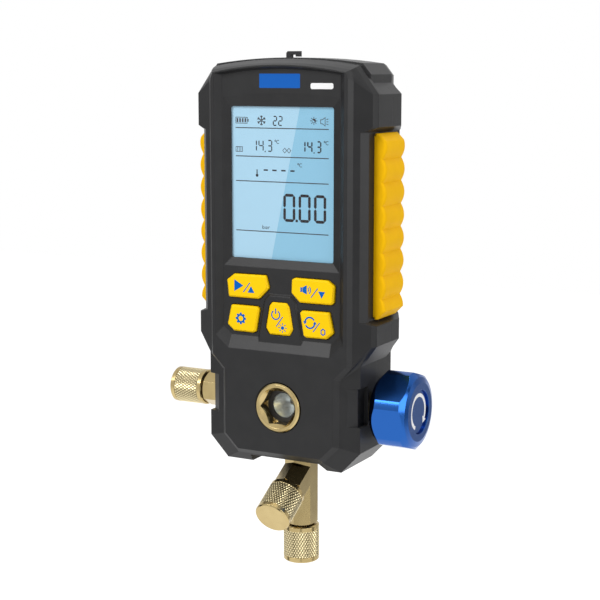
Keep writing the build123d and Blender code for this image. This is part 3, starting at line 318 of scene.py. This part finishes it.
def round_axis(along, radius, angle, origin, direction):
    """Points at distances along an axis, at a radius and an angle round it."""
    direction = np.array(direction) / np.linalg.norm(direction)
    side = np.array((1.0, 0, 0)) if abs(direction[0]) < 0.9 else np.array((0, 1.0, 0))
    other = np.cross(direction, side)
    ring = np.cos(angle)[..., None] * side + np.sin(angle)[..., None] * other
    return np.array(origin) + along[..., None] * direction + radius[..., None] * ring


# %% [markdown]
# ## The three ports
# Each port starts where the hexagonal bar that carries it ends: one on the left, one straight
# down and one on the branch that leans 60 degrees out of the front. A cap covers it.

# %% Ports and caps
BRANCH_ANGLE = math.radians(60)
LEAN = np.array((0, -math.sin(BRANCH_ANGLE), -math.cos(BRANCH_ANGLE)))
DOWN = np.array((0, 0, -1.0))
LEFT = np.array((-1.0, 0, 0))
LEFT_BAR_END = 47.2     # from the middle of the case
CROSSING = 31.9         # of the two lower bars, below the port axis
DOWN_BAR = 24.9         # length of each lower bar from the crossing
FRONT_BAR = 14.5
PORT_DEPTH = (PORT_AXIS.y - FRONT) / MM
JUNCTION = np.array(place(0, PORT_DEPTH, -CROSSING))
BAR_ENDS = {
    "left": (np.array(place(-LEFT_BAR_END, PORT_DEPTH, 0)), LEFT),
    "down": (JUNCTION + DOWN * DOWN_BAR * MM, DOWN),
    "front": (JUNCTION + LEAN * FRONT_BAR * MM, LEAN),
}
CAP_GAP = 0.3 * MM
print("ports:", ", ".join(BAR_ENDS))

# %% [markdown]
# ## Swollen grips
# Between two grooves the rubber of a grip swells out, so that each finger finds its own rib. The
# solid grips are flat there, and a skin over them takes the swelling: a parabola along the height.

# %% Grip skins
GROOVE_FIRST = 48.8     # height of the lowest groove above the port axis
GROOVE_PITCH = 9.7
GRIP_FACE = 43.4        # reach of the grip in a groove, from the middle of the case
GRIP_END_FACE = 41.5    # the same, at the sloping ends
GRIP_ROOT = 40.5        # where the skin's edges end, inside the solid grip
GRIP_SWELL = 1.6
GRIP_EDGE = 1.2         # radius of the front and back edges
GRIP_COVER = 0.05       # how far the skin lies outside the solid, in front and behind
GRIP_INSET = 0.02       # how far it ends inside it, above and below
GRIP_ROWS = 200
EDGE_POINTS = 6


def grip_skin(name, node):
    """Face of a grip: reach = face + swell * (1 - t * t), t from -1 to 1 between two grooves.

    The section across it has a quarter round at each edge: reach = face - edge * (1 - sin(turn)),
    depth = end + edge * (1 - cos(turn)).
    """
    low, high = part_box(node)
    side = 1 if low.x > 0 else -1
    height = np.linspace(low.z / MM + GRIP_INSET, high.z / MM - GRIP_INSET, GRIP_ROWS)
    t = 2 * ((height - PORT_AXIS.z / MM - GROOVE_FIRST) / GROOVE_PITCH % 1) - 1
    from_end = np.minimum(height - height[0], height[-1] - height)
    reach = np.minimum(GRIP_FACE + GRIP_SWELL * (1 - t * t), GRIP_END_FACE + from_end)[:, None]
    turn = np.radians(np.linspace(0, 90, EDGE_POINTS))
    inset = GRIP_EDGE * (1 - np.sin(turn))
    rise = GRIP_EDGE * (1 - np.cos(turn))
    front, back = low.y / MM - GRIP_COVER, high.y / MM + GRIP_COVER
    depth = np.concatenate(([front], front + rise, back - rise[::-1], [back]))
    across = reach - np.concatenate((inset, inset[::-1]))
    across = np.pad(across, ((0, 0), (1, 1)), constant_values=GRIP_ROOT)
    across, depth, height = np.broadcast_arrays(across, depth, height[:, None])
    points = np.stack((across * side, depth, height), -1) * MM
    if side < 0:
        points = points[:, ::-1]
    faces = grid_faces(*across.shape, wrap_columns=False)
    return new_piece(name, points.reshape(-1, 3).tolist(), faces, grip_rubber, "case")


for side in ("left", "right"):
    skin = grip_skin("grip_skin_" + side, "grip_" + side)
    print(skin.name, len(skin.data.polygons), "quads")

# %% [markdown]
# ## Knurled caps
# Each cap is rolled between two cut wheels that press crossing helical grooves, and leaves rows of
# small diamonds. Two triangle waves that wind opposite ways round the cap give both sets of
# grooves, and the lower of the two is the metal that is left. The wheels are pressed in until the
# diamonds are nearly sharp, so only a small flat is left on each.

# %% Knurling
CAP_RADIUS = 8.0 * MM
CAP_LENGTH = 16.6 * MM
BAND = 2.3 * MM             # plain band at each end of the cap
SUNK = 0.015 * MM           # crests of the knurling below the plain bands
GROOVE_DEPTH = 0.22 * MM
SHARPNESS = 1.3             # slope of the grooves: more than 1 leaves a flat on each diamond
TEETH = 40
DIAMOND_LENGTH = 2.1 * MM
TOOTH_COLUMNS = 6
DIAMOND_ROWS = 9


def knurl(name, body, mouth, outward):
    """Sleeve of diamonds: radius = crest radius - groove depth * (1 - crest).

    crest = the lower of two triangle waves, made steeper by the sharpness and cut off at 1.
    """
    length = CAP_LENGTH - 2 * BAND
    rows = int(round(length / DIAMOND_LENGTH * DIAMOND_ROWS)) + 1
    columns = TEETH * TOOTH_COLUMNS
    along, angle = np.meshgrid(np.linspace(0, length, rows),
                               np.arange(columns) * 2 * math.pi / columns, indexing="ij")
    turns = TEETH * angle / (2 * math.pi)
    lean = along / DIAMOND_LENGTH
    wave = [np.abs(2 * ((turns + way * lean) % 1) - 1) for way in (1, -1)]
    crest = np.clip(np.minimum(*wave) * SHARPNESS, 0, 1)
    radius = CAP_RADIUS - SUNK - GROOVE_DEPTH * (1 - crest)
    start = np.array(mouth) + np.array(outward) * BAND
    points = round_axis(along, radius, angle, start, outward).reshape(-1, 3)
    faces = grid_faces(rows, columns)
    sleeve = new_piece(name, points.tolist(), faces, knurled_brass_painted_shade, body)
    # The crest height sets the painted shade in the grooves and the painted highlight on the
    # crests.
    height = sleeve.data.attributes.new("crest", "FLOAT", "POINT")
    height.data.foreach_set("value", crest.ravel())
    return sleeve


for side, (bar_end, outward) in BAR_ENDS.items():
    sleeve = knurl("knurl_" + side, side + "_cap", bar_end + outward * CAP_GAP, outward)
    print(sleeve.name, len(sleeve.data.polygons), "quads")

# %% [markdown]
# ## Threads
# A flare port of this size has a 7/16 inch thread of 20 to the inch. One ridge winds along it: a
# short profile of root, crest, crest, root is carried round the axis and forward by one pitch a
# turn. The crest sinks to the root over the first and last half turn, as a cut thread runs out.

# %% Thread ridges
PITCH = 25.4 / 20 * MM
THREAD_START = 1.8 * MM
THREAD_TURNS = 6
TURN_STEPS = 36
RUN_OUT = 0.5               # turns over which the crest sinks to the root
ROOT_RADIUS = 4.93 * MM
CREST_RADIUS = 5.5 * MM
RIDGE = np.array(((-0.5, 0), (-0.1, 1), (0.1, 1), (0.5, 0)))


def thread(name, body, bar_end, outward):
    """Helical ridge: along = start + pitch * (turns + offset), radius = root + height * profile."""
    turns, offset = np.meshgrid(np.linspace(0, THREAD_TURNS, THREAD_TURNS * TURN_STEPS + 1),
                                RIDGE[:, 0], indexing="ij")
    run_out = np.clip(np.minimum(turns, THREAD_TURNS - turns) / RUN_OUT, 0, 1)
    radius = ROOT_RADIUS + (CREST_RADIUS - ROOT_RADIUS) * RIDGE[:, 1] * run_out
    along = THREAD_START + PITCH * (turns + 0.5 + offset)
    points = round_axis(along, radius, -2 * math.pi * turns, bar_end, outward).reshape(-1, 3)
    faces = grid_faces(len(turns), len(RIDGE), wrap_columns=False)
    return new_piece(name, points.tolist(), faces, turned_brass, body)


for side, (bar_end, outward) in BAR_ENDS.items():
    ridge = thread("thread_" + side, "case", bar_end, outward)
    print(ridge.name, len(ridge.data.polygons), "quads")

# %% [markdown]
# ## Printing
# Ink and display segments are flat shapes a few hundredths of a millimetre in front of what
# carries them. Each is a stroke of even width along a path, or a filled outline, in millimetres
# on its plane. A plane needs only a corner point and the directions of right and up.

# %% Flat shapes


def stroke(path, width, closed=False):
    """Band of even width: each path point moves half a width both ways along its mitre."""
    path = np.array(path, float)
    ahead = np.roll(path, -1, 0) - path
    if not closed:
        ahead[-1] = ahead[-2]
    ahead /= np.linalg.norm(ahead, axis=1)[:, None]
    behind = np.roll(ahead, 1, 0)
    if not closed:
        behind[0] = ahead[0]
    left = np.stack([-ahead[:, 1], ahead[:, 0]], -1)
    left_behind = np.stack([-behind[:, 1], behind[:, 0]], -1)
    mitre = (left + left_behind) / (1 + np.sum(left * left_behind, 1))[:, None]
    points = np.concatenate([path + mitre * width / 2, path - mitre * width / 2])
    count = len(path)
    here = np.arange(count if closed else count - 1)
    following = (here + 1) % count
    return points, np.stack([here, here + count, following + count, following], -1).tolist()


def filled(outline):
    """One face inside an outline that has no hollow."""
    return np.array(outline, float), [list(range(len(outline)))]


def arc(x, h, radius, start=0.0, stop=360.0, steps=24):
    """Points round a centre from one angle to another, in degrees counted against the clock."""
    angle = np.radians(np.linspace(start, stop, steps + 1))
    return np.stack([x + radius * np.cos(angle), h + radius * np.sin(angle)], -1)


def circle(x, h, radius, steps=24):
    """Points of a closed circle."""
    return arc(x, h, radius, steps=steps)[:-1]


def printed(name, shapes, corner, right, up, finish, body):
    """Join flat shapes to one piece on a plane, all facing the reader."""
    points, faces = [], []
    for shape, shape_faces in shapes:
        first = np.array(shape_faces[0])
        x, h = shape[first, 0], shape[first, 1]
        clockwise = np.sum(x * np.roll(h, -1) - h * np.roll(x, -1)) < 0
        start = sum(len(p) for p in points)
        points.append(shape)
        faces += [[start + i for i in (face[::-1] if clockwise else face)] for face in shape_faces]
    flat = np.concatenate(points) * MM
    solid = np.array(corner) + flat[:, :1] * np.array(right) + flat[:, 1:] * np.array(up)
    return new_piece(name, solid.tolist(), faces, finish, body)


def printed_on_front(name, shapes, depth, finish, body):
    """Print on a plane that faces the front of the case, at a depth in mm."""
    return printed(name, shapes, place(0, depth, 0), (1, 0, 0), (0, 0, 1), finish, body)


print("flat shapes ready")

# %% [markdown]
# A blue plate and a small white one are printed above the display, and both stay bare. A plate is
# a rectangle with its corners rounded: four quarter circles, joined by straight runs.

# %% Bare plates
FRONT_PLATE = 2.5       # depth of the face that carries the plates
PROUD = 0.02            # how far ink lies in front of what carries it
CORNER_STEPS = 6


def plate(low_x, high_x, low_h, high_h, radius):
    """Filled rectangle with rounded corners."""
    corners = [(high_x - radius, high_h - radius, 0), (low_x + radius, high_h - radius, 90),
               (low_x + radius, low_h + radius, 180), (high_x - radius, low_h + radius, 270)]
    rounds = [arc(x, h, radius, start, start + 90, CORNER_STEPS) for x, h, start in corners]
    return filled(np.concatenate(rounds))


for name, box, radius, finish in (("blue_plate", (-9.9, 9.4, 135.8, 141.7), 0.25, plate_ink),
                                  ("white_plate", (14.3, 24.85, 135.45, 137.9), 0.8, white_ink)):
    piece = printed_on_front(name, [plate(*box, radius)], FRONT_PLATE - PROUD, finish,
                             "case")
    print(piece.name, "is bare")

# %% [markdown]
# ## The display
# The figures are the seven-segment kind. Each segment is a bar with pointed ends along one side
# or the waist of an upright box, and a table says which segments each figure lights.

# %% Segment figures
SEGMENTS = {
    "a": ((0, 2), (1, 2)), "b": ((1, 2), (1, 1)), "c": ((1, 1), (1, 0)), "d": ((0, 0), (1, 0)),
    "e": ((0, 1), (0, 0)), "f": ((0, 2), (0, 1)), "g": ((0, 1), (1, 1)),
}
LIT = {"0": "abcdef", "1": "bc", "2": "abged", "3": "abgcd", "4": "fgbc"}
SEGMENT_GAP = 0.08


def segment(start, end, weight):
    """Bar with pointed ends, short of both ends by the gap between segments."""
    start, end = np.array(start, float), np.array(end, float)
    along = (end - start) / np.linalg.norm(end - start)
    across = np.array((-along[1], along[0])) * weight / 2
    start, end = start + along * SEGMENT_GAP, end - along * SEGMENT_GAP
    tip = along * weight / 2
    return filled([start, start + tip - across, end - tip - across, end, end - tip + across,
                   start + tip + across])


def figure(sign, low_x, high_x, low_h, high_h, weight):
    """Lit segments of one figure inside a box."""
    low = np.array((low_x, low_h)) + weight / 2
    step = np.array((high_x - low_x - weight, (high_h - low_h - weight) / 2))
    ends = [np.array(SEGMENTS[s]) * step + low for s in LIT[sign]]
    return [segment(start, end, weight) for start, end in ends]


def dot(x, h, size):
    """Square point on the foot line."""
    near, far = x - size / 2, x + size / 2
    return filled([(near, h), (far, h), (far, h + size), (near, h + size)])


def degrees(x, h, weight):
    """Degree ring and open C of a temperature unit, with its top at a height."""
    return [stroke(circle(x + 0.35, h - 0.4, 0.3, 12), weight, True),
            stroke(arc(x + 1.65, h - 0.85, 0.72, 50, 310, 14), weight)]


print("figures:", " ".join(LIT))

# %% [markdown]
# The rows of the display, from the top: battery, cold sign, refrigerant number, light and sound
# signs, then two temperatures, a row of dashes while no probe is plugged in, and the pressure.

# %% Display contents
PANEL_FACE = 4.65       # depth of the panel behind the front plane
SHIFT = -0.6            # of all that the display shows, to the left
HAIRLINE = 0.22         # widths of the three pens
FINE_PEN = 0.26
RULE_PEN = 0.4
READING_FOOT, READING_TOP = 109.1, 114.1
CODE_FOOT, CODE_TOP = 120.0, 124.2
PRESSURE_FOOT, PRESSURE_TOP = 79.85, 91.7
DASH_HEIGHT = 101.35
rules = [stroke([(-22.2, h), (22.3, h)], RULE_PEN) for h in (119.0, 107.0, 96.45, 75.2)]

readings = []
for x, weight in ((-13.0, 0.5), (10.3, 0.62)):
    for sign, low_x, high_x in (("1", -1.2, 1.2), ("4", 1.95, 4.45), ("3", 6.3, 8.6)):
        readings += figure(sign, x + low_x, x + high_x, READING_FOOT, READING_TOP, weight)
    readings += [dot(x + 5.2, READING_FOOT - 0.15, 0.5)]
    readings += degrees(x + 9.75, READING_TOP + 0.1, HAIRLINE)
code = []
for x in (-4.1, -1.5):
    code += figure("2", x, x + 2.1, CODE_FOOT, CODE_TOP, 0.5)
dashes = [stroke([(x, DASH_HEIGHT), (x + 2.1, DASH_HEIGHT)], 0.62) for x in (-8.6, -4.4, -0.1, 4.2)]
pressure = [dot(7.3, PRESSURE_FOOT + 0.05, 1.05)]
for x in (0.9, 8.2, 15.5):
    pressure += figure("0", x, x + 5.7, PRESSURE_FOOT, PRESSURE_TOP, 1.2)
bold = readings + code + dashes + pressure

# %% [markdown]
# The small signs use thinner pens: a battery with four bars, a snow crystal, a half lit sun, a
# loudspeaker, a probe, a finned coil, two lozenges between the temperatures, and the unit of the
# pressure. The crystal and the sun are one arm or ray, turned round a centre.

# %% Display signs
battery = [stroke([(-22.1, 120.9), (-16.5, 120.9), (-16.5, 123.4), (-22.1, 123.4)], FINE_PEN, True),
           filled([(-16.3, 121.6), (-15.8, 121.6), (-15.8, 122.7), (-16.3, 122.7)])]
battery += [stroke([(-21.3 + 1.3 * i, 121.3), (-21.3 + 1.3 * i, 123.0)], 0.8) for i in range(4)]

CRYSTAL = np.array((-9.57, 122.2))
cold = []
for angle in np.radians(np.arange(30, 390, 60)):
    arm = np.array((math.cos(angle), math.sin(angle)))
    twig = np.array((-arm[1], arm[0]))
    tips = [CRYSTAL + arm * 1.9 + twig * spread for spread in (0.6, -0.6)]
    cold += [stroke([CRYSTAL + arm * 0.1, CRYSTAL + arm * 2.1], RULE_PEN),
             stroke([tips[0], CRYSTAL + arm * 1.2, tips[1]], 0.3)]

SUN = (15.35, 122.4)
light = [stroke(circle(*SUN, 0.85, 16), HAIRLINE, True), filled(arc(*SUN, 0.85, -45, 135, 12))]
for angle in np.radians(np.arange(0, 360, 45)):
    ray = np.array((math.cos(angle), math.sin(angle)))
    light += [stroke([SUN + ray * 1.1, SUN + ray * 1.65], 0.3)]

sound = [stroke([(18.5, 121.3), (19.3, 121.3), (20.6, 120.4), (20.6, 123.8), (19.3, 122.9),
                 (18.5, 122.9)], FINE_PEN, True)]
sound += [stroke([(21.2, h), (22.1, h + rise)], FINE_PEN)
          for h, rise in ((121.2, -0.3), (122.1, 0), (123.0, 0.3))]
probe = [stroke([(-11.8, 98.9), (-11.8, 101.5)], 0.5), filled(circle(-11.8, 99.0, 0.65, 16))]
fins = [stroke([(-22.1, 108.9), (-18.9, 108.9), (-18.9, 110.9), (-22.1, 110.9)], FINE_PEN, True)]
fins += [stroke([(x, 108.9), (x, 110.9)], HAIRLINE) for x in (-21.3, -20.5, -19.7)]
lozenges = [stroke([(x - 0.95, 109.8), (x, 108.8), (x + 0.95, 109.8), (x, 110.8)], 0.24, True)
            for x in (1.6, 3.6)]
unit = [stroke([(x, top), (x, 76.3)], HAIRLINE)
        for x, top in ((-9.2, 77.9), (-6.95, 77.3), (-6.3, 77.3))]
unit += [stroke(circle(x, 76.8, 0.42, 12), HAIRLINE, True) for x in (-8.7, -7.45)]
unit += [stroke(arc(-5.85, 76.85, 0.42, 60, 170, 6), HAIRLINE)]
fine = rules + unit + battery + cold + light + sound + fins + lozenges
fine += degrees(7.7, 104.7, HAIRLINE)
# The painted reflection: a pale band with a slanting edge over the left of the panel.
painted_reflection_band = filled([(-25.4, 62.4), (-5.1, 62.4), (9.1, 129.2), (-25.4, 129.2)])

# %% Print the display
for name, shapes, raised, finish in (("display_painted_glare", [painted_reflection_band], 0.015, lcd_painted_reflection),
                                     ("display_figures", bold + probe, 0.03, lcd_ink),
                                     ("display_signs", fine, 0.03, lcd_thin_ink)):
    corner = place(SHIFT, PANEL_FACE - raised, 0)
    piece = printed(name, shapes, corner, (1, 0, 0), (0, 0, 1), finish, "case")
    print(piece.name, len(piece.data.polygons), "faces")

# %% [markdown]
# ## Signs on the keys
# The signs are pad printed in blue ink on the flat top of each key, and ride with it. Each sign is
# built from the same strokes and fills, in the place that it has on the keypad.

# %% Key signs
KEY_FACE = 1.0          # depth of the keys' flat tops
SLASH = 0.42            # width of the line between the two signs of a key
ARROW = 1.25


def arrowhead(x, h, angle, size):
    """Triangle with its foot at a point, pointing along an angle in degrees."""
    turn = math.radians(angle)
    along = np.array((math.cos(turn), math.sin(turn))) * size
    across = np.array((-along[1], along[0])) * 0.75
    foot = np.array((x, h))
    return filled([foot - across, foot + along, foot + across])


def rays(x, h, near, far, weight, count=8):
    """Short strokes round a point."""
    angles = np.arange(count) * 2 * math.pi / count
    return [stroke([(x + near * math.cos(a), h + near * math.sin(a)),
                    (x + far * math.cos(a), h + far * math.sin(a))], weight) for a in angles]


def gear(x, h, outer, root, hole, teeth=8):
    """Ring whose outer edge steps between the tooth tips and their roots."""
    corner = np.array((-0.36, -0.2, 0.2, 0.36)) * math.pi * 2 / teeth
    angle = (np.arange(teeth)[:, None] * 2 * math.pi / teeth + corner).ravel()
    reach = np.tile((root, outer, outer, root), teeth)
    rim = np.stack([x + reach * np.cos(angle), h + reach * np.sin(angle)], -1)
    bore = np.stack([x + hole * np.cos(angle), h + hole * np.sin(angle)], -1)
    here = np.arange(len(angle))
    following = (here + 1) % len(angle)
    faces = np.stack([here, following, following + len(angle), here + len(angle)], -1)
    return np.concatenate([rim, bore]), faces.tolist()


KEY_SIGNS = {
    "start_up": [
        filled([(-21.9, 54.2), (-21.9, 49.0), (-17.4, 51.7)]),
        stroke([(-14.2, 53.1), (-17.4, 48.9)], SLASH),
        filled([(-13.6, 51.7), (-15.3, 48.85), (-11.9, 48.85)])],
    "sound_down": [
        filled([(10.35, 51.0), (11.2, 51.0), (11.2, 52.9), (10.35, 52.9)]),
        filled([(11.35, 51.0), (13.4, 50.0), (13.4, 54.0), (11.35, 52.9)]),
        stroke(arc(13.2, 52.0, 1.1, -50, 50, 8), 0.4),
        stroke(arc(13.2, 52.0, 2.0, -50, 50, 8), 0.4),
        stroke([(18.6, 53.0), (15.4, 48.9)], SLASH),
        filled([(18.8, 51.7), (20.4, 48.75), (22.0, 51.7)])],
    "settings": [gear(-18.75, 37.3, 2.6, 1.95, 1.15)],
    "power_light": [
        stroke(arc(-1.54, 40.2, 1.95, 125, 415), 0.55),
        stroke([(-1.54, 40.6), (-1.54, 43.0)], 0.55),
        stroke([(1.9, 39.6), (-1.3, 35.2)], SLASH),
        filled(circle(1.76, 34.8, 0.8, 16)),
        *rays(1.76, 34.8, 1.2, 2.1, 0.34)],
    "cycle_zero": [
        stroke(arc(14.9, 38.1, 2.3, 30, 170), 0.7),
        stroke(arc(14.9, 38.1, 2.3, 210, 350), 0.7),
        arrowhead(12.55, 38.55, 268, ARROW),
        arrowhead(17.25, 37.65, 88, ARROW),
        stroke([(19.5, 38.4), (16.4, 34.3)], SLASH),
        stroke([(20.2, 33.9), (21.1, 33.3), (22.0, 33.9), (22.0, 35.3), (21.1, 35.9), (20.2, 35.3)],
               0.5, True)],
}
for sign, shapes in KEY_SIGNS.items():
    piece = printed_on_front("sign_" + sign, shapes, KEY_FACE - PROUD, key_ink,
                             "key_" + sign)
    print(piece.name, len(piece.data.polygons), "faces")

# %% [markdown]
# ## The arrow on the knob
# A white ring with an arrowhead on the knob's end shows the way to turn it. It is printed on the
# sunk disc, which faces right, so right on its plane is towards the back of the gauge.

# %% Ring arrow
disc_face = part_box("knob_disc")[1].x
RING_RADIUS = 7.2
RING_START, RING_END = 245, -30
tip = math.radians(RING_END)
ring = [stroke(arc(0, 0, RING_RADIUS, RING_START, RING_END, 40), 1.5),
        arrowhead(RING_RADIUS * math.cos(tip), RING_RADIUS * math.sin(tip), -122, 2.6)]
knob_centre = Vector((disc_face + PROUD * MM, PORT_AXIS.y, PORT_AXIS.z))
arrow = printed("knob_arrow", ring, knob_centre, (0, 1, 0), (0, 0, 1), white_ink, "knob")
print(arrow.name, "at x", round(disc_face / MM, 2), "mm")

# %% [markdown]
# ## The studio
# A long lens from the right and a little above, as the photograph has it. The gauge hangs, so the
# floor is well below it.

# %% Camera
AZIMUTH = math.radians(28)
ELEVATION = math.radians(9.1)
camera_data = bpy.data.cameras.new("camera")
camera_data.lens = 85.8
camera_data.sensor_width = 36
camera = bpy.data.objects.new("camera", camera_data)
camera.location = place(289.5, -524.3, 142.8)
forward = Vector((-math.sin(AZIMUTH) * math.cos(ELEVATION),
                  math.cos(AZIMUTH) * math.cos(ELEVATION), -math.sin(ELEVATION)))
camera.rotation_euler = forward.to_track_quat("-Z", "Y").to_euler()
bpy.context.scene.collection.objects.link(camera)
bpy.context.scene.camera = camera
print("camera at", [round(c, 3) for c in camera.location])

# %% [markdown]
# Floor and world look white to the camera, and in metal and glass, but light the gauge no more
# than a pale room would. Light Path tells the rays apart. The floor adds its own white to the
# light that falls on it, so the shadow of the gauge still shows there.

# %% Floor and world
FLOOR_SIZE = 6          # metres, wider than the camera sees
FLOOR_DROP = 0.35       # below the lowest cap
FLOOR_GLOW = 0.65
ROOM_LIGHT = 0.45


def seen_directly(tree):
    """1 for rays of the camera and those that a mirror or a clear piece sends on, else 0."""
    path = add_node(tree, "ShaderNodeLightPath")
    seen = path.outputs["Is Camera Ray"]
    for ray in ("Is Glossy Ray", "Is Transmission Ray"):
        either = add_node(tree, "ShaderNodeMath", {0: seen, 1: path.outputs[ray]},
                          operation="MAXIMUM")
        seen = either.outputs[0]
    return seen


floor_finish, tree, output = new_finish("pale_floor")
lit = add_node(tree, "ShaderNodeBsdfDiffuse", Color=linear("#F4F4F4"))
shine = add_node(tree, "ShaderNodeEmission", Color=linear("#FFFFFF"), Strength=FLOOR_GLOW)
both = add_node(tree, "ShaderNodeAddShader", {0: lit.outputs["BSDF"], 1: shine.outputs["Emission"]})
floor_mix = add_node(tree, "ShaderNodeMixShader", {0: seen_directly(tree), 1: lit.outputs["BSDF"],
                                                   2: both.outputs["Shader"]})
tree.links.new(floor_mix.outputs["Shader"], output.inputs["Surface"])
bpy.ops.mesh.primitive_plane_add(size=FLOOR_SIZE, location=(0, 0, cad_box[0][2] - FLOOR_DROP))
floor = bpy.context.object
floor.name = "floor"
floor.data.materials.append(floor_finish)

world = bpy.data.worlds.new("studio")
bpy.context.scene.world = world
world.use_nodes = True
sky = world.node_tree
sky.nodes.clear()
dim = add_node(sky, "ShaderNodeBackground", Color=(1, 1, 1, 1), Strength=ROOM_LIGHT)
white = add_node(sky, "ShaderNodeBackground", Color=(1, 1, 1, 1), Strength=1.0)
mix = add_node(sky, "ShaderNodeMixShader", {0: seen_directly(sky), 1: dim.outputs["Background"],
                                            2: white.outputs["Background"]})
add_node(sky, "ShaderNodeOutputWorld", {"Surface": mix.outputs["Shader"]})

# %% Lamps
MIDDLE = Vector((0, 0, -0.1))


def softbox(name, spot, size, power):
    """A square area lamp that faces the middle of the gauge."""
    lamp = bpy.data.lights.new(name, "AREA")
    lamp.size = size
    lamp.energy = power
    lamp_object = bpy.data.objects.new(name, lamp)
    lamp_object.location = spot
    lamp_object.rotation_euler = (MIDDLE - Vector(spot)).to_track_quat("-Z", "Y").to_euler()
    bpy.context.scene.collection.objects.link(lamp_object)


softbox("key_lamp", (-0.35, -0.75, 0.55), 0.5, 7)
softbox("top_lamp", (0.1, 0.1, 0.9), 0.6, 3.5)
softbox("side_lamp", (0.9, -0.2, 0.1), 0.5, 3)
bpy.context.scene.view_settings.view_transform = "Standard"

# %% [markdown]
# Bright metal in an all white room looks like plaster. A photographer stands dark cards beside the
# lamps, outside the picture, so that the metal has something dark to mirror. The sides that face
# right mirror the room behind the gauge, and a paler card there takes the glare off them. These
# cards are seen by mirror rays only: they throw no shadow and take no light away.

# %% Dark cards


def card_finish(name, colour):
    """Matt card of one colour."""
    finish, tree, output = new_finish(name)
    shade = add_node(tree, "ShaderNodeBsdfDiffuse", Color=linear(colour))
    tree.links.new(shade.outputs["BSDF"], output.inputs["Surface"])
    return finish


black_card = card_finish("black_card", "#2A2A2A")
grey_card = card_finish("grey_card", "#DCDCDC")
CARD_HEIGHT = 1.2


def dark_card(name, spot, width, finish=black_card):
    """An upright card that faces the gauge and shows only in mirror rays."""
    bpy.ops.mesh.primitive_plane_add(size=1, location=spot)
    card = bpy.context.object
    card.name = name
    card.scale = (width, CARD_HEIGHT, 1)
    card.rotation_euler = (MIDDLE - Vector(spot)).to_track_quat("Z", "Y").to_euler()
    card.data.materials.append(finish)
    card.visible_camera = False
    card.visible_diffuse = False
    card.visible_shadow = False
    card.visible_transmission = False


dark_card("left_card", (-0.8, -0.35, -0.05), 0.3)
dark_card("front_card", (0.45, -0.95, -0.1), 0.22)
dark_card("right_card", (0.95, 0.35, -0.1), 0.35)
dark_card("back_card", (0.55, 1.0, -0.25), 0.6, grey_card)
